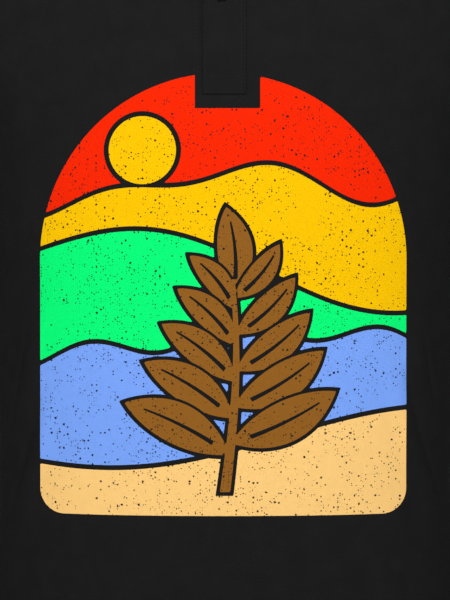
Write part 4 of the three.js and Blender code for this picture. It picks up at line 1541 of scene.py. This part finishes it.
# Building the shirt
form = Form(STATIONS)
cut_nets = cut_garment()
nets = settle(form, cut_nets)
nets["front"] = calm_front(nets["front"], form.panel("front"))
for name in PANELS:
    fill_waist(nets[name])
    level_hem(name, nets[name])
pique, rib, thread = pique_material(), rib_material(), thread_material()
stitching = Stitching()

body = []
for name in PANELS:
    outer, inner, uv = panel_nets(name, nets[name], SMOOTHING)
    obj = finish_piece(shell_object(f"{name}_cloth", outer, inner, uv), pique, "pique", f"{name}_panel")
    area = net_area(cut_nets[name])
    sew_panel(stitching, name, outer)
    body.append(outer)

sleeve_steps = positions(SLEEVE_ROWS, SMOOTHING, EDGE_STEPS, EDGE_STEPS)
cuff_steps = positions(CUFF_ROWS, **CUFF_STEPS)
for name in SLEEVES:
    settled, cuff_settled = nets[name][:SLEEVE_ROWS + 1], nets[name][SLEEVE_ROWS:]
    sleeve = ring_object(f"{name}_sleeve_cloth", name, settled, sleeve_steps, sleeve_shape)
    finish_piece(sleeve, pique, "pique", f"sleeve_{name}")
    area = net_area(closed_up(cut_nets[name][:SLEEVE_ROWS + 1]))
    cuff = ring_object(f"{name}_cuff_rib", name, cuff_settled, cuff_steps, cuff_shape)
    finish_piece(cuff, rib, "rib", f"cuff_{name}")

outer, inner, uv = collar_nets(form, surface_tree(body))
collar = finish_piece(shell_object("collar_rib", outer, inner, uv), rib, "rib", "collar")
area = net_area((outer + inner) / 2)

tape = finish_piece(shell_object("neck_tape", *tape_nets(nets["back"])), tape_material(), "thread")

field = FrontField(panel_nets("front", nets["front"], TRIM_SMOOTHING)[0])
for name in ("outer", "inner"):
    band = shell_object(f"placket_{name}_band", *placket_nets(form, field, outside=name == "outer"))
    finish_piece(band, pique, "pique", f"placket_{name}")
sew_placket(stitching, form, field)

button_finish = button_material()
for name, height in BUTTON_HEIGHTS.items():
    place = button_frame(field, height)
    finish_piece(button_object(f"{name}_button", place), button_finish, "button", f"button_{name}")
    sew_button(stitching, place)

finish_piece(stitching.make("stitching"), thread, "thread")
for name, film in print_objects(field):
    finish_piece(film, print_material(name), "print")

# The floor, the lights and the camera
PHOTO_HEIGHT = 600
MM_PER_PIXEL = 0.795
VIEW_HEIGHT = PHOTO_HEIGHT * MM_PER_PIXEL / 1000
VIEW_CENTRE_Z = 0.3115
CHEST_Y = -0.1264
CAMERA_DISTANCE = 2.1
SENSOR = 36.0  # along the long side of the picture
AMBIENT = 0.19
BACKDROP = 0.55
BACKDROP_COLOUR = (0.93, 0.94, 0.96, 1)
FLOOR = {"half": 14.0, "drop": 0.0003, "colour": (0.66, 0.66, 0.65), "darkest": 0.97}
FAR_FLOOR = {"from": 1.2, "to": 4.5, "glow": 0.40, "colour": (0.96, 0.97, 1.0, 1.0)}
SOFTBOXES = {
    "key": {"place": (-0.05, -2.6, 1.6), "target": (0, 0, 0.33), "size": (1.2, 1.5), "watts": 65.5},
    "back_left": {"place": (-1.0, 2.8, 1.8), "target": (0, 0, 0.4), "size": (0.7, 1.2), "watts": 84},
    "back_right": {"place": (1.0, 2.8, 1.7), "target": (0, 0, 0.4), "size": (0.7, 1.2), "watts": 70},
}


def floor_material():
    """A pale floor that keeps its brightness away from the lights."""
    m = Nodes("floor")
    far = m.add("ShaderNodeVectorMath", operation="LENGTH")
    m.link(m.add("ShaderNodeTexCoord").outputs["Object"], far.inputs[0])
    glow = m.add("ShaderNodeMapRange", interpolation_type="SMOOTHSTEP")
    m.link(far.outputs["Value"], glow.inputs["Value"])
    for socket, value in (("From Min", "from"), ("From Max", "to"), ("To Max", "glow")):
        glow.inputs[socket].default_value = FAR_FLOOR[value]
    dark = tuple(FLOOR["darkest"] * c for c in FLOOR["colour"])
    m.set(
        Base_Color=m.ramp(m.noise(3), dark, FLOOR["colour"]),
        Roughness=0.8,
        Specular_IOR_Level=0.2,
        Emission_Color=FAR_FLOOR["colour"],
        Emission_Strength=glow.outputs["Result"],
    )
    return m.material


def stage_floor():
    half = FLOOR["half"]
    corners = [(-half, -half, 0), (half, -half, 0), (half, half, 0), (-half, half, 0)]
    floor = mesh_object("floor", corners, [(0, 1, 2, 3)])
    floor.location.z = -FLOOR["drop"]
    floor.data.materials.append(floor_material())


def softbox(name, place, target, size, watts):
    light = bpy.data.lights.new(name, "AREA")
    set_all(light, {"shape": "RECTANGLE", "size": size[0], "size_y": size[1], "energy": watts})
    obj = scene_object(name, light)
    obj.location = place
    obj.rotation_euler = (Vector(target) - Vector(place)).to_track_quat("-Z", "Y").to_euler()
    obj.visible_camera = False


def studio():
    """Soft lights, and a backdrop that looks paler than the light it gives."""
    world = bpy.data.worlds.new("studio")
    bpy.context.scene.world = world
    world.use_nodes = True
    tree = world.node_tree
    background = tree.nodes["Background"]
    background.inputs["Color"].default_value = BACKDROP_COLOUR
    path = tree.nodes.new("ShaderNodeLightPath")
    strength = tree.nodes.new("ShaderNodeMapRange")
    strength.inputs["To Min"].default_value = AMBIENT
    strength.inputs["To Max"].default_value = BACKDROP
    tree.links.new(path.outputs["Is Camera Ray"], strength.inputs["Value"])
    tree.links.new(strength.outputs["Result"], background.inputs["Strength"])
    for name, light in SOFTBOXES.items():
        softbox(name, **light)


def photo_camera():
    camera = bpy.data.cameras.new("camera")
    set_all(camera, {"sensor_width": SENSOR, "lens": SENSOR * CAMERA_DISTANCE / VIEW_HEIGHT})
    obj = scene_object("camera", camera)
    obj.location = (0, CHEST_Y - CAMERA_DISTANCE, VIEW_CENTRE_Z)
    obj.rotation_euler = (math.pi / 2, 0, 0)
    bpy.context.scene.camera = obj
    bpy.context.scene.view_settings.view_transform = "Standard"


stage_floor()
studio()
photo_camera()

bpy.context.view_layer.update()
